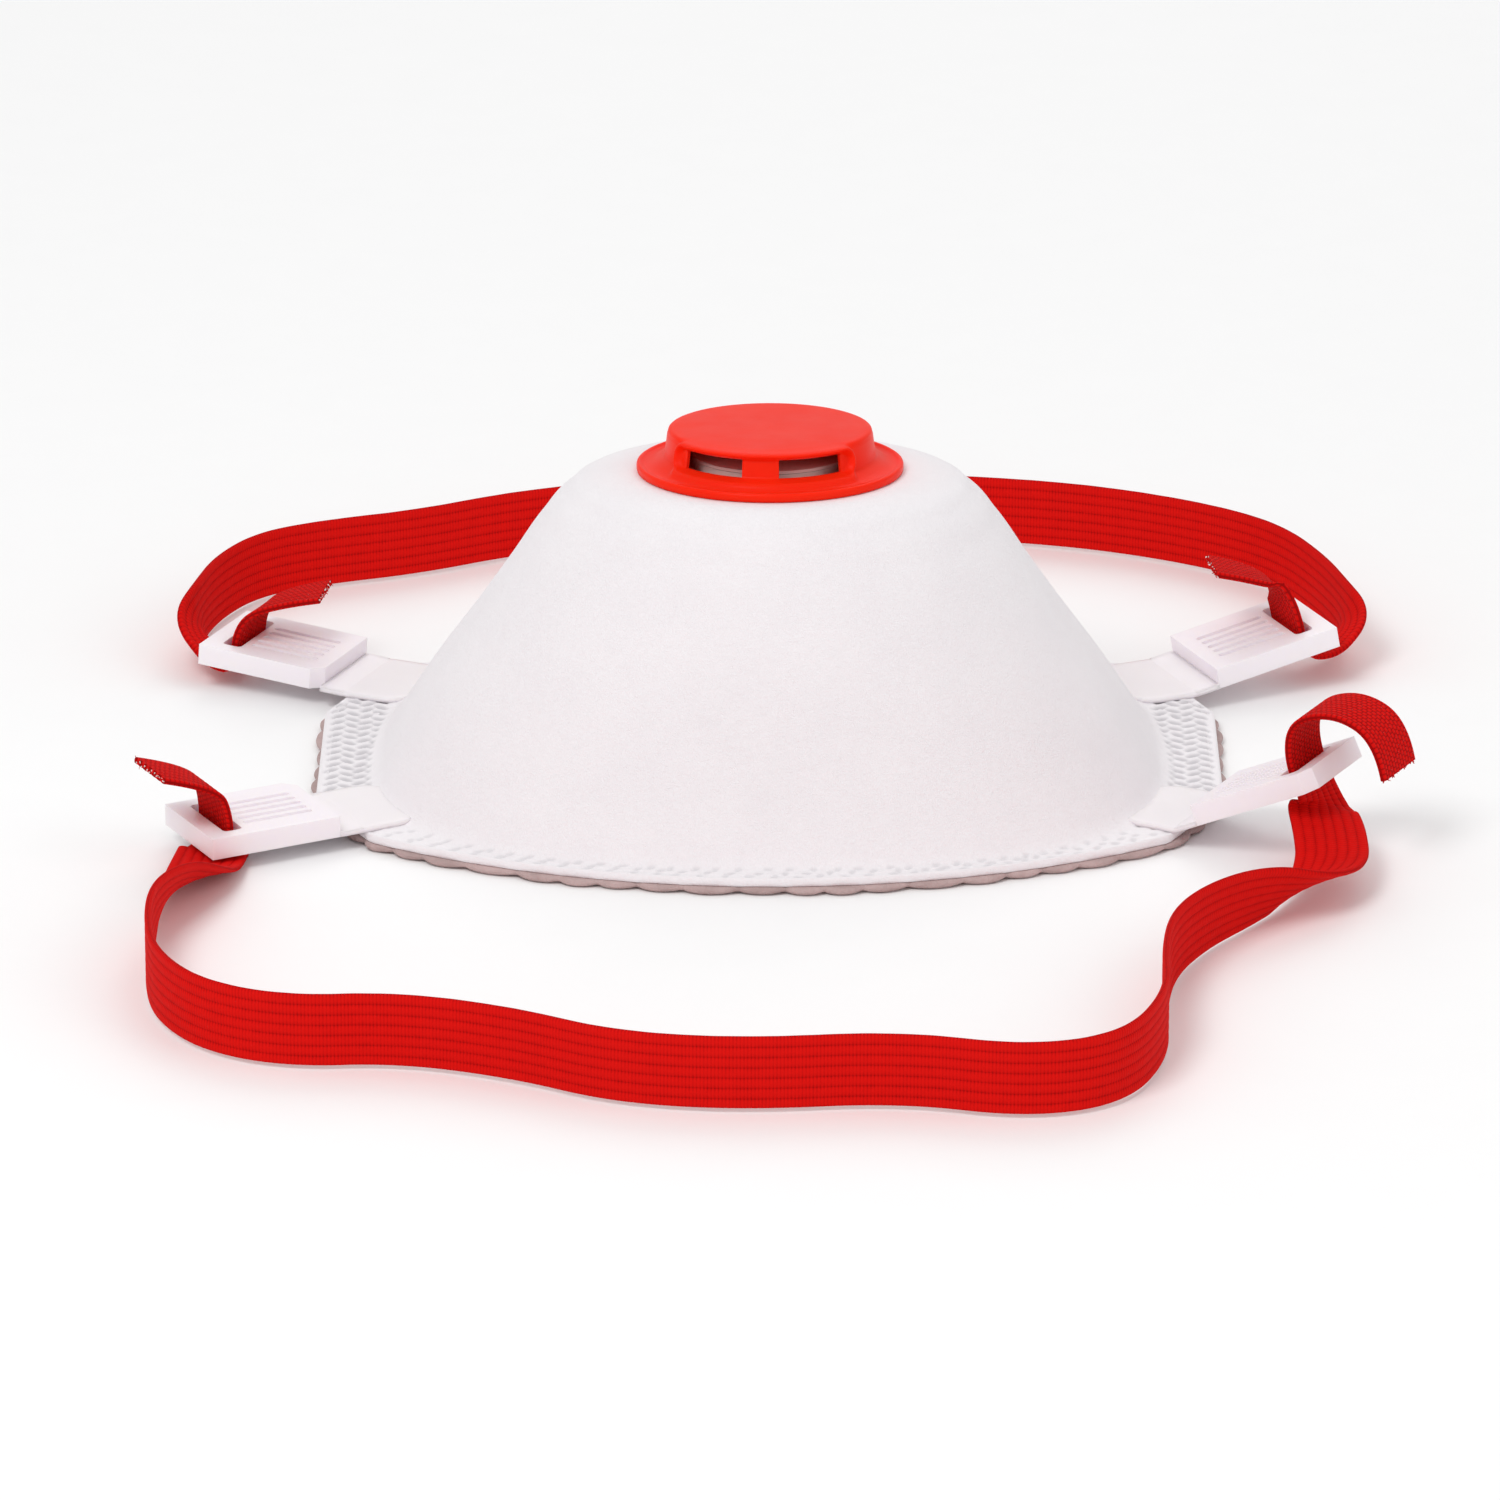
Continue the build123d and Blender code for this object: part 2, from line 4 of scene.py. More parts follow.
import bpy
import numpy as np
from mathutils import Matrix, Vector


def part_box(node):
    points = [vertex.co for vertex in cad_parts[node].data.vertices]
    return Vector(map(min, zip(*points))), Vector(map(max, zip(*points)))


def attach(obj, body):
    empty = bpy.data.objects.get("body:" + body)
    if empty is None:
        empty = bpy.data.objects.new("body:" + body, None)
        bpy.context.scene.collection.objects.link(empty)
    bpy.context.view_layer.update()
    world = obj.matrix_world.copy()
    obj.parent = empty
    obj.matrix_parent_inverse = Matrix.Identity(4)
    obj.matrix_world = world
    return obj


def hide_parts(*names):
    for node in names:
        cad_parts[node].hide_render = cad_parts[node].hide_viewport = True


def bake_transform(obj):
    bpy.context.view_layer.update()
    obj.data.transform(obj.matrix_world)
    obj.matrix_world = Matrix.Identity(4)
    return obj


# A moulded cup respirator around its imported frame. The frame is in metres. Sizes that follow the CAD model
# are written in millimetres here, and MM turns them into metres.
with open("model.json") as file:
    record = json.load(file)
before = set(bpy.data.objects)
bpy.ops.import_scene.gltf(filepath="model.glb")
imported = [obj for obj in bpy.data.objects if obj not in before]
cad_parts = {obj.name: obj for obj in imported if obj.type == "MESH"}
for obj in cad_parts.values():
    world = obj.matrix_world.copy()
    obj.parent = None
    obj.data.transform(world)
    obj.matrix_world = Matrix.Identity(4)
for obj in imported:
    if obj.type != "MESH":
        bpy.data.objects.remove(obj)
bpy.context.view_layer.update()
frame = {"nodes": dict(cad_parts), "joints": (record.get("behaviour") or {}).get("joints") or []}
MM = 0.001

# ---------------------------------------------------------------- camera and light

CAMERA_AT = (0.0, -1.6445, 0.6185)
CAMERA_AIM = (-0.0033, -0.0051, 0.0059)
CAMERA_LENS = 252.0
CAMERA_SEES_TO = 20.0
LIGHT_AIM = (0, 0, 0.02)
# Each light's name, its place, its side in metres and its watts
LIGHTS = (
    ("key", (-0.45, -0.75, 1.05), 0.5, 6.4),
    ("fill", (0.9, -0.5, 0.6), 0.8, 1.5),
    ("back", (0.1, 0.9, 0.9), 0.8, 2.8),
)
WORLD_STRENGTH = 0.62


def place_facing(name, data, at, aim):
    """Puts a camera or a light at a place in metres, turned towards its aim."""
    made = bpy.data.objects.new(name, data)
    bpy.context.scene.collection.objects.link(made)
    made.location = at
    made.rotation_euler = (Vector(aim) - Vector(at)).to_track_quat("-Z", "Y").to_euler()
    return made


def make_camera():
    data = bpy.data.cameras.new("camera")
    data.lens = CAMERA_LENS
    data.clip_end = CAMERA_SEES_TO
    bpy.context.scene.camera = place_facing("camera", data, CAMERA_AT, CAMERA_AIM)


def make_light(name, at, size, power):
    data = bpy.data.lights.new(name, "AREA")
    data.shape = "SQUARE"
    data.size = size
    data.energy = power
    place_facing(name, data, at, LIGHT_AIM)


make_camera()
bpy.context.scene.view_settings.view_transform = "Standard"
for light in LIGHTS:
    make_light(*light)
world = bpy.data.worlds.new("studio")
bpy.context.scene.world = world
world.use_nodes = True
background = world.node_tree.nodes["Background"]
background.inputs["Color"].default_value = (1, 1, 1, 1)
background.inputs["Strength"].default_value = WORLD_STRENGTH

# ---------------------------------------------------------------- material helpers


class Shader:
    """A principled material with short calls for the nodes that its pattern needs."""

    def __init__(self, name, colour, roughness, **sockets):
        self.material = bpy.data.materials.new(name)
        self.material.use_nodes = True
        self.tree = self.material.node_tree
        self.surface = self.tree.nodes["Principled BSDF"]
        self.surface.inputs["Base Color"].default_value = (*colour, 1)
        self.surface.inputs["Roughness"].default_value = roughness
        for socket, value in sockets.items():
            self.surface.inputs[socket.replace("_", " ")].default_value = value

    def node(self, kind, **settings):
        made = self.tree.nodes.new(kind)
        for key, value in settings.items():
            setattr(made, key, value)
        return made

    def link(self, source, target):
        self.tree.links.new(source, target)

    def math(self, operation, first, second=None):
        made = self.node("ShaderNodeMath", operation=operation)
        for socket, value in zip(made.inputs, (first, second)):
            if value is None:
                continue
            if isinstance(value, (int, float)):
                socket.default_value = value
            else:
                self.link(value, socket)
        return made.outputs[0]

    def noise(self, scale, detail=3.0, distortion=0.0):
        place = self.node("ShaderNodeTexCoord")
        made = self.node("ShaderNodeTexNoise")
        made.inputs["Scale"].default_value = scale
        made.inputs["Detail"].default_value = detail
        made.inputs["Distortion"].default_value = distortion
        self.link(place.outputs["Object"], made.inputs["Vector"])
        return made.outputs["Fac"]

    def ramp(self, value, stops):
        made = self.node("ShaderNodeValToRGB")
        marks = made.color_ramp.elements
        while len(marks) < len(stops):
            marks.new(0.5)
        for mark, (at, colour) in zip(marks, stops):
            mark.position = at
            mark.color = (*colour, 1)
        self.link(value, made.inputs["Fac"])
        return made.outputs["Color"]

    def colour(self, value):
        self.link(value, self.surface.inputs["Base Color"])
        return self

    def bump(self, height, strength, distance):
        made = self.node("ShaderNodeBump")
        made.inputs["Strength"].default_value = strength
        made.inputs["Distance"].default_value = distance
        self.link(height, made.inputs["Height"])
        self.link(made.outputs["Normal"], self.surface.inputs["Normal"])
        return self


def fleece(name, light, dark, bump=0.35, sheen=0.25, marks=None):
    """Matt non-woven cloth: fine tangled fibres, faint clouding, and painted shade that greys the dents of
    the weld marks.
    """
    made = Shader(name, light, 0.95, Sheen_Weight=sheen, Sheen_Roughness=0.6, Specular_IOR_Level=0.2)
    shade = made.ramp(made.noise(scale=90, detail=4), [(0.35, dark), (0.65, light)])
    # Painted shade: where a point of the cover is sunk into a weld mark, the marks colour greys it as if
    # shade lay in the dent
    if marks is not None:
        painted_dent_shade = made.node("ShaderNodeAttribute", attribute_name="painted_dent_shade")
        mix = made.node("ShaderNodeMix", data_type="RGBA")
        made.link(painted_dent_shade.outputs["Fac"], mix.inputs["Factor"])
        made.link(shade, mix.inputs["A"])
        mix.inputs["B"].default_value = (*marks, 1)
        shade = mix.outputs["Result"]
    made.colour(shade)
    fibres = made.noise(scale=1500, detail=4, distortion=2.5)
    tufts = made.noise(scale=420, distortion=1.0)
    height = made.math("ADD", fibres, made.math("MULTIPLY", tufts, 0.8))
    made.bump(height, strength=bump, distance=0.0004)
    return made.material


def moulded(name, light, dark, roughness, bump=0.06, **sockets):
    """Moulded plastic: faint flow clouding, an uneven polish and a very fine grain."""
    made = Shader(name, light, roughness, **sockets)
    made.colour(made.ramp(made.noise(scale=70), [(0.3, dark), (0.7, light)]))
    rougher = min(1, roughness + 0.1)
    polish = made.ramp(made.noise(scale=160), [(0.3, (roughness,) * 3), (0.8, (rougher,) * 3)])
    made.link(polish, made.surface.inputs["Roughness"])
    made.bump(made.noise(scale=1800, detail=2), strength=bump, distance=0.0002)
    return made.material


RIBS = 7
PICK = 0.56 * MM
BASKET_PICKS = 1.6
# How much ribs and picks add to the ribbed elastic's height, and how much unevenness adds to both weaves
RIB_SHARE, PICK_SHARE, UNEVEN_SHARE = 0.55, 0.42, 0.35
# The elastic's colour from low to high in its weave: painted shade in the grooves between threads, lighter
# red on the threads' tops as painted light
ELASTIC_PAINTED_SHADE = [(0.25, (0.30, 0.002, 0.002)), (0.62, (0.56, 0.0035, 0.003)), (1.0, (0.70, 0.006, 0.004))]


def elastic(name, basket):
    """Woven elastic in the strap's own coordinates: U across the width, V along it, in metres."""
    made = Shader(name, (0.62, 0.005, 0.004), 0.8, Specular_IOR_Level=0.06)

    def thread(value, power=None):
        """A rounded thread between each two whole numbers."""
        wave = made.math("ABSOLUTE", made.math("SINE", made.math("MULTIPLY", value, math.pi)))
        return wave if power is None else made.math("POWER", wave, power)

    place = made.node("ShaderNodeUVMap", uv_map="weave")
    split = made.node("ShaderNodeSeparateXYZ")
    made.link(place.outputs["UV"], split.inputs["Vector"])
    lane = made.math("MULTIPLY", split.outputs["X"], RIBS * 2 - 1 if basket else RIBS)
    row = made.math("DIVIDE", split.outputs["Y"], PICK * BASKET_PICKS if basket else PICK)
    if basket:
        # Every other lane lies half a pick further on
        odd_lane = made.math("MODULO", made.math("FLOOR", lane), 2.0)
        row = made.math("ADD", row, made.math("MULTIPLY", odd_lane, 0.5))
        stitch = made.math("MULTIPLY", thread(row, 0.5), thread(lane, 0.5))
    else:
        ribs = made.math("MULTIPLY", thread(lane, 0.5), RIB_SHARE)
        stitch = made.math("ADD", ribs, made.math("MULTIPLY", thread(row), PICK_SHARE))
    height = made.math("ADD", stitch, made.math("MULTIPLY", made.noise(scale=650), UNEVEN_SHARE))
    # Painted shade and light: the colour follows the weave's height, darker in its grooves and lighter on the
    # threads, over a random unevenness of the yarn's own tone
    made.colour(made.ramp(height, ELASTIC_PAINTED_SHADE))
    made.bump(height, strength=0.8 if basket else 0.4, distance=0.00025)
    return made.material


def foam(name, light, dark, scale):
    """Open-cell foam: rounded pores over a faint mottling."""
    made = Shader(name, light, 0.95, Specular_IOR_Level=0.15)
    place = made.node("ShaderNodeTexCoord")
    pores = made.node("ShaderNodeTexVoronoi")
    pores.inputs["Scale"].default_value = scale
    made.link(place.outputs["Object"], pores.inputs["Vector"])
    made.colour(made.ramp(made.noise(scale=220, detail=4), [(0.3, dark), (0.7, light)]))
    made.bump(pores.outputs["Distance"], strength=0.5, distance=0.0004)
    return made.material


# The marks colour is painted shade, greying the cover in the dents of its weld marks
cover_fleece = fleece(
    "cover_fleece", (0.90, 0.87, 0.89), (0.885, 0.853, 0.875),
    bump=0.42, sheen=0.1, marks=(0.60, 0.575, 0.60),
)
inner_fleece = fleece("inner_fleece", (0.86, 0.86, 0.86), (0.80, 0.80, 0.80))
seal_foam = foam("seal_foam", (0.56, 0.42, 0.41), (0.42, 0.31, 0.30), 1400)
nose_foam_material = foam("nose_foam_material", (0.36, 0.36, 0.37), (0.27, 0.27, 0.28), 1500)
red_plastic = moulded(
    "red_plastic", (0.96, 0.022, 0.004), (0.93, 0.018, 0.003), 0.34, Specular_IOR_Level=0.08,
    Subsurface_Weight=0.25, Subsurface_Radius=(0.006, 0.001, 0.0005), Subsurface_Scale=0.5,
)
base_plastic = moulded("base_plastic", (0.88, 0.70, 0.66), (0.84, 0.66, 0.62), 0.4)
ring_plastic = moulded("ring_plastic", (0.96, 0.74, 0.70), (0.93, 0.70, 0.66), 0.35)
flap_rubber = moulded("flap_rubber", (0.94, 0.66, 0.62), (0.90, 0.62, 0.58), 0.45)
buckle_plastic = moulded(
    "buckle_plastic", (0.92, 0.865, 0.90), (0.89, 0.83, 0.87), 0.38, bump=0.08,
    Subsurface_Weight=0.35, Subsurface_Radius=(0.004, 0.004, 0.005), Subsurface_Scale=0.6,
)
clip_metal = moulded("clip_metal", (0.74, 0.74, 0.76), (0.66, 0.66, 0.68), 0.35, Metallic=1.0)
yarn = moulded("yarn", (0.60, 0.006, 0.004), (0.50, 0.004, 0.003), 0.9, bump=0.2, Specular_IOR_Level=0.05)
rubber_core = moulded("rubber_core", (0.88, 0.80, 0.78), (0.80, 0.70, 0.68), 0.6)
ribbed_elastic = elastic("ribbed_elastic", basket=False)
basket_elastic = elastic("basket_elastic", basket=True)
floor_paint = fleece("floor_paint", (0.96, 0.96, 0.96), (0.955, 0.955, 0.955), bump=0.02, sheen=0.0)

# ---------------------------------------------------------------- mesh helpers


def new_piece(name, points, faces, materials, face_materials=None):
    """A smooth-shaded mesh object; where it has two materials, each face's number says which is its own."""
    mesh = bpy.data.meshes.new(name)
    mesh.from_pydata([tuple(p) for p in points], [], [tuple(f) for f in faces])
    for material in materials:
        mesh.materials.append(material)
    if face_materials is not None:
        mesh.polygons.foreach_set("material_index", face_materials)
    mesh.polygons.foreach_set("use_smooth", [True] * len(mesh.polygons))
    mesh.validate()
    mesh.update()
    piece = bpy.data.objects.new(name, mesh)
    bpy.context.scene.collection.objects.link(piece)
    return piece


def grid_faces(rows, columns, close_rows=False):
    """Outward quads over rows of points, each row a closed ring."""
    found = []
    for r in range(rows if close_rows else rows - 1):
        for c in range(columns):
            a, b = r * columns + c, r * columns + (c + 1) % columns
            below = ((r + 1) % rows) * columns
            found.append((below + c, below + (c + 1) % columns, b, a))
    return found


def smooth_table(at, xs, ys):
    """A smooth curve through a table of values, with slopes taken from its neighbours."""
    xs, ys = np.asarray(xs, float), np.asarray(ys, float)
    slope = np.gradient(ys, xs)
    at = np.clip(at, xs[0], xs[-1])
    i = np.clip(np.searchsorted(xs, at) - 1, 0, len(xs) - 2)
    width = xs[i + 1] - xs[i]
    t = (at - xs[i]) / width
    return (
        ys[i] * (1 + 2 * t) * (1 - t) ** 2 + slope[i] * width * t * (1 - t) ** 2
        + ys[i + 1] * t * t * (3 - 2 * t) + slope[i + 1] * width * t * t * (t - 1)
    )


# ---------------------------------------------------------------- cup surface, as the CAD model has it

CUP_HALF_WIDTH, CHIN_REACH, NOSE_REACH = 67.5, 46.5, 61.0
CUP_HEIGHT, CUP_CENTRE_Y, PLATEAU_RADIUS = 53.5, -6.0, 25.5
FLANGE_HALF_WIDTH = 75.0
CHIN_SQUARENESS, NOSE_SQUARENESS = 0.5, 1.0
VALVE_TILT, VALVE_TURN = 4.5, -5.4
# Shares of the cup's height, and of its half width, chin reach and nose reach there
LEVELS = np.array([
    (-0.06, 1.030, 1.020, 1.020),
    (0.00, 1.000, 1.000, 1.000),
    (0.15, 0.923, 0.935, 0.934),
    (0.32, 0.840, 0.882, 0.852),
    (0.51, 0.738, 0.839, 0.754),
    (0.69, 0.644, 0.785, 0.664),
    (0.84, 0.567, 0.720, 0.582),
    (0.935, 0.503, 0.656, 0.516),
    (0.985, 0.437, 0.591, 0.459),
    (1.0, PLATEAU_RADIUS / CUP_HALF_WIDTH, PLATEAU_RADIUS / CHIN_REACH, PLATEAU_RADIUS / NOSE_REACH),
])
# The CAD cover's flange is this thick, and here its underside is a hundredth higher
COVER_FLANGE, COVER_FLANGE_INSIDE = 0.40, 0.39
FLANGE_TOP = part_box("outer_cover")[0].z / MM + COVER_FLANGE
FLANGE_UNDER = FLANGE_TOP - COVER_FLANGE_INSIDE
SEAL_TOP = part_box("face_seal")[1].z / MM


def cup_point(share, angle, inset=0.0):
    """Points of the cup's surface in millimetres at shares of its height and angles round it."""
    half_width = CUP_HALF_WIDTH * smooth_table(share, LEVELS[:, 0], LEVELS[:, 1])
    chin = CHIN_REACH * smooth_table(share, LEVELS[:, 0], LEVELS[:, 2])
    nose = NOSE_REACH * smooth_table(share, LEVELS[:, 0], LEVELS[:, 3])
    upper = np.sin(angle) > 0
    reach = np.where(upper, nose, chin)
    power = 2 + np.where(upper, NOSE_SQUARENESS, CHIN_SQUARENESS) * (1 - share)
    shape = np.abs(np.cos(angle) / half_width) ** power + np.abs(np.sin(angle) / reach) ** power
    radius = shape ** (-1 / power) - inset
    climb = np.maximum(share, 0)
    tilt = np.radians(VALVE_TILT) * climb**2
    x, y = radius * np.cos(angle), radius * np.sin(angle)
    return np.stack([
        x,
        CUP_CENTRE_Y * (1 - share) + y * np.cos(tilt),
        CUP_HEIGHT * share - inset * climb**3 - y * np.sin(tilt),
    ], axis=-1)


def rim_loop():
    """The seal's outer loop of corners, in millimetres, in order round the cup's centre."""
    corners = np.array([v.co for v in frame["nodes"]["face_seal"].data.vertices]) / MM
    corners = np.unique(np.round(corners[corners[:, 2] < 0.01][:, :2], 3), axis=0)
    centred = corners - (0, CUP_CENTRE_Y)
    angle = np.arctan2(centred[:, 1], centred[:, 0])
    foot = cup_point(np.zeros(len(angle)), angle)[:, :2] - (0, CUP_CENTRE_Y)
    outside = np.hypot(*centred.T) > np.hypot(*foot.T)
    order = np.argsort(angle[outside])
    return centred[outside][order]


def rim_radius(angles, loop):
    """How far the rim lies from the cup's centre in each direction."""
    ring = np.vstack([loop, loop[:1]])
    start, run = ring[:-1], np.diff(ring, axis=0)
    found = np.zeros(len(angles))
    for k, angle in enumerate(angles):
        d = np.array([math.cos(angle), math.sin(angle)])
        cross = d[0] * run[:, 1] - d[1] * run[:, 0]
        cross = np.where(np.abs(cross) < 1e-9, 1e-9, cross)
        distance = (start[:, 0] * run[:, 1] - start[:, 1] * run[:, 0]) / cross
        share = (start[:, 0] * d[1] - start[:, 1] * d[0]) / cross
        hits = distance[(distance > 0) & (share >= -1e-6) & (share <= 1 + 1e-6)]
        found[k] = hits.max()
    return found


SEAL_OVERHANG = 0.5
LOOP = rim_loop()
AROUND = 1200
ANGLES = np.linspace(-math.pi, math.pi, AROUND, endpoint=False)
SEAL_EDGE = rim_radius(ANGLES, LOOP)
RIM = SEAL_EDGE - SEAL_OVERHANG


def flat_points(radius, height):
    """A level ring of points in millimetres round the cup's centre."""
    return np.stack([
        radius * np.cos(ANGLES), CUP_CENTRE_Y + radius * np.sin(ANGLES), np.full(AROUND, height) + 0 * radius
    ], axis=-1)


def run_round(ring):
    """How far round a closed ring each of its steps ends."""
    return np.cumsum(np.hypot(*(np.roll(ring, -1, 0) - ring)[:, :2].T))


def press(points, marks, length, width, depth):
    """How deep small oval marks, each an x, y and slant, go at the points of a flat grid."""
    height = np.zeros(len(points))
    for x, y, slant in marks:
        dx, dy = points[:, 0] - x, points[:, 1] - y
        near = (np.abs(dx) < length) & (np.abs(dy) < length)
        if not near.any():
            continue
        along = dx[near] * math.cos(slant) + dy[near] * math.sin(slant)
        over = -dx[near] * math.sin(slant) + dy[near] * math.cos(slant)
        oval = (along / (length / 2)) ** 2 + (over / (width / 2)) ** 2
        height[near] = np.maximum(height[near], np.clip(1.35 - oval, 0, 1))
    return height * depth


chance = np.random.default_rng(11)

COVER_SKIN, VALVE_HOLE, FOOT_FILLET, FLAT_ENDS_INSIDE_RIM = 0.5, 13.2, 2.0, 0.5
PLATEAU_ROWS, WALL_ROWS, FLANGE_ROWS, INNER_ROWS = 9, 72, 25, 30
# The edge rolled down over the layers: how far outside the rim, and how far below the flange's top
ROLLED_EDGE = (
    (-0.1, 0.06), (0.12, 0.25), (0.22, 0.6), (0.24, 1.0), (0.18, 1.4), (0.05, FLANGE_TOP - SEAL_TOP - 0.03),
)
DASH_COLUMNS, DASH_PITCH, DASH_LEAN = (2.1, 4.4, 6.7, 9.0), 2.9, 0.75
# Each line of dots: its share of the flange's width, and where its first dot is
DOT_LINES, DOT_PITCH, DOTS_WITHIN = ((0.28, 0.0), (0.55, 1.3), (0.78, 2.7)), 3.9, 66.5
MARK_DEPTH = 0.32
EDGE_WELD_WIDTH, EDGE_WELD_SLOPE, EDGE_WELD_DEPTH = 1.7, 0.4, 0.16


def wing_dashes():
    """The slanted weld dashes on both wings, each as its x, y and slant."""
    dashes = []
    for side in (-1, 1):
        for column, inward in enumerate(DASH_COLUMNS):
            odd = column % 2
            lean = (1 if odd else -1) * DASH_LEAN
            for y in np.arange(-15.0, 31.0, DASH_PITCH):
                slip = chance.normal(0, 0.12, 3)
                dashes.append((
                    side * (FLANGE_HALF_WIDTH - inward) + slip[0],
                    y + odd * DASH_PITCH / 2 + slip[1],
                    side * lean + slip[2],
                ))
    return dashes


def foot_dots(foot_radius, width):
    """The uneven lines of weld dots round the cup's foot, each as its x, y and slant."""
    dots = []
    for inward, offset in DOT_LINES:
        line = flat_points(foot_radius + width * inward, FLANGE_TOP)
        run = run_round(line)
        for distance in np.arange(offset, run[-1], DOT_PITCH):
            at = line[np.searchsorted(run, distance + chance.normal(0, 0.35)) % AROUND]
            if abs(at[0]) < DOTS_WITHIN:
                dots.append((at[0], at[1] + chance.normal(0, 0.15), 0.7 + chance.normal(0, 0.5)))
    return dots


def build_cover():
    """The outer fleece: plateau, cup wall, foot fillet, flange and an edge rolled down over the layers."""
    rows = []
    ring = cup_point(np.ones(AROUND), ANGLES)
    centre = np.array([0, 0, CUP_HEIGHT])
    for radius in np.linspace(VALVE_HOLE, PLATEAU_RADIUS, PLATEAU_ROWS)[:-1]:
        rows.append(centre + (ring - centre) * (radius / PLATEAU_RADIUS))
    foot_share = FLANGE_TOP / CUP_HEIGHT
    wall_start = foot_share + FOOT_FILLET / CUP_HEIGHT
    for share in 1.0 - np.linspace(0, 1, WALL_ROWS) * (1.0 - wall_start):
        rows.append(cup_point(np.full(AROUND, share), ANGLES))
    wall = rows[-1]
    foot = cup_point(np.full(AROUND, foot_share), ANGLES)
    foot_radius = np.hypot(foot[:, 0], foot[:, 1] - CUP_CENTRE_Y)
    width = RIM - foot_radius
    toe_radius = foot_radius + np.minimum(FOOT_FILLET, width * 0.4)
    toe = flat_points(toe_radius, FLANGE_TOP)
    for t in (0.2, 0.4, 0.6, 0.8, 1.0):
        rows.append(wall * (1 - t) ** 2 + foot * 2 * t * (1 - t) + toe * t * t)
    first_marked = len(rows) - 2
    for t in np.linspace(0, 1, FLANGE_ROWS)[1:]:
        rows.append(flat_points(toe_radius + (RIM - FLAT_ENDS_INSIDE_RIM - toe_radius) * t, FLANGE_TOP))
    end_marked = len(rows)
    for out, drop in ROLLED_EDGE:
        rows.append(flat_points(RIM + out, FLANGE_TOP - drop))
    rows.append(flat_points(RIM + 0.02, SEAL_TOP + 0.05))
    rows.append(flat_points(RIM + 0.02, FLANGE_UNDER))
    rows.append(flat_points(foot_radius + COVER_SKIN, FLANGE_UNDER))
    for share in np.linspace(foot_share, 1.0, INNER_ROWS):
        rows.append(cup_point(np.full(AROUND, share), ANGLES, inset=COVER_SKIN))
    centre = np.array([0, 0, CUP_HEIGHT - COVER_SKIN])
    rows.append(centre + (rows[-1] - centre) * (VALVE_HOLE / (PLATEAU_RADIUS - COVER_SKIN)))
    points = np.concatenate(rows)

    # The marks are sunk into the flange and the fillet's toe, and painted shade greys each dent, more where
    # it is sunk deeper
    flat = slice(first_marked * AROUND, end_marked * AROUND)
    sunk = press(points[flat], wing_dashes(), length=3.1, width=1.5, depth=1.0)
    sunk += press(points[flat], foot_dots(foot_radius, width), length=1.7, width=1.1, depth=0.45)
    points[flat, 2] -= MARK_DEPTH * sunk
    painted_dent_shade = np.zeros(len(points), np.float32)
    painted_dent_shade[flat] = np.clip(sunk, 0, 1)

    # The edge weld presses the outside of the flange thinner
    radius = np.hypot(points[flat, 0], points[flat, 1] - CUP_CENTRE_Y)
    from_weld = radius - np.tile(RIM, end_marked - first_marked) + EDGE_WELD_WIDTH
    points[flat, 2] -= EDGE_WELD_DEPTH * np.clip(from_weld / EDGE_WELD_SLOPE, 0, 1)
    faces = grid_faces(len(rows), AROUND, close_rows=True)
    piece = new_piece("cup_cover", points * MM, faces, [cover_fleece])
    piece.data.attributes.new("painted_dent_shade", "FLOAT", "POINT").data.foreach_set("value", painted_dent_shade)
    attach(piece, "mask")
    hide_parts("outer_cover")


SCALLOP_RUN, SCALLOP_DEPTH, SCALLOP_LIFT = 7.4, 0.95, 0.30
SEAL_INSIDE = 12.0


def build_seal():
    """The soft face seal: a pad with a scalloped outer edge and rolled edges all round."""
    run = run_round(flat_points(SEAL_EDGE, 0))
    phase = run / run[-1] * 2 * math.pi * round(run[-1] / SCALLOP_RUN)
    scallop = phase / 2 + 0.5 * np.sin(phase / 5)
    wobble = 0.25 * np.sin(phase / 3.0 + 1.0) + 0.15 * np.sin(phase / 7.0)
    edge = SEAL_EDGE + 0.15 + SCALLOP_DEPTH * (np.abs(np.sin(scallop)) ** 0.7 - 0.5) + wobble
    lift = SCALLOP_LIFT * (1 - np.abs(np.sin(scallop + 0.2)) ** 0.8)
    inner = cup_point(np.zeros(AROUND), ANGLES, inset=SEAL_INSIDE)
    inner_radius = np.hypot(inner[:, 0], inner[:, 1] - CUP_CENTRE_Y)
    top = SEAL_TOP - 0.02
    # Radius, height and share of the scallops' lift, over the top from the inner edge and back under it
    profile = [
        (inner_radius, 0.6, 0), (inner_radius + 0.15, 0.95, 0), (inner_radius + 0.6, top, 0),
        (RIM - 1.0, top, 0), (edge - 0.35, top, 0), (edge - 0.08, 0.92, 0), (edge, 0.6, 0.5),
        (edge - 0.08, 0.28, 1), (edge - 0.4, 0.03, 1), (edge - 1.6, 0.0, 0),
        (inner_radius + 0.6, 0.0, 0), (inner_radius + 0.15, 0.2, 0),
    ]
    rows = []
    for radius, height, share in profile:
        ring = flat_points(radius, height)
        ring[:, 2] += lift * share
        rows.append(ring)
    faces = grid_faces(len(rows), AROUND, close_rows=True)
    piece = new_piece("face_seal_pad", np.concatenate(rows) * MM, faces, [seal_foam])
    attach(piece, "mask")
    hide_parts("face_seal")


build_cover()
build_seal()

# ---------------------------------------------------------------- buckles: CAD frames, and tabs that bend

TAB_HALF_WIDTH, TAB_THICKNESS, TAB_REACH, WEB_COVER = 9.28, 0.86, 12.6, 4.55
TAB_TIP_HALF_WIDTH = 2.4
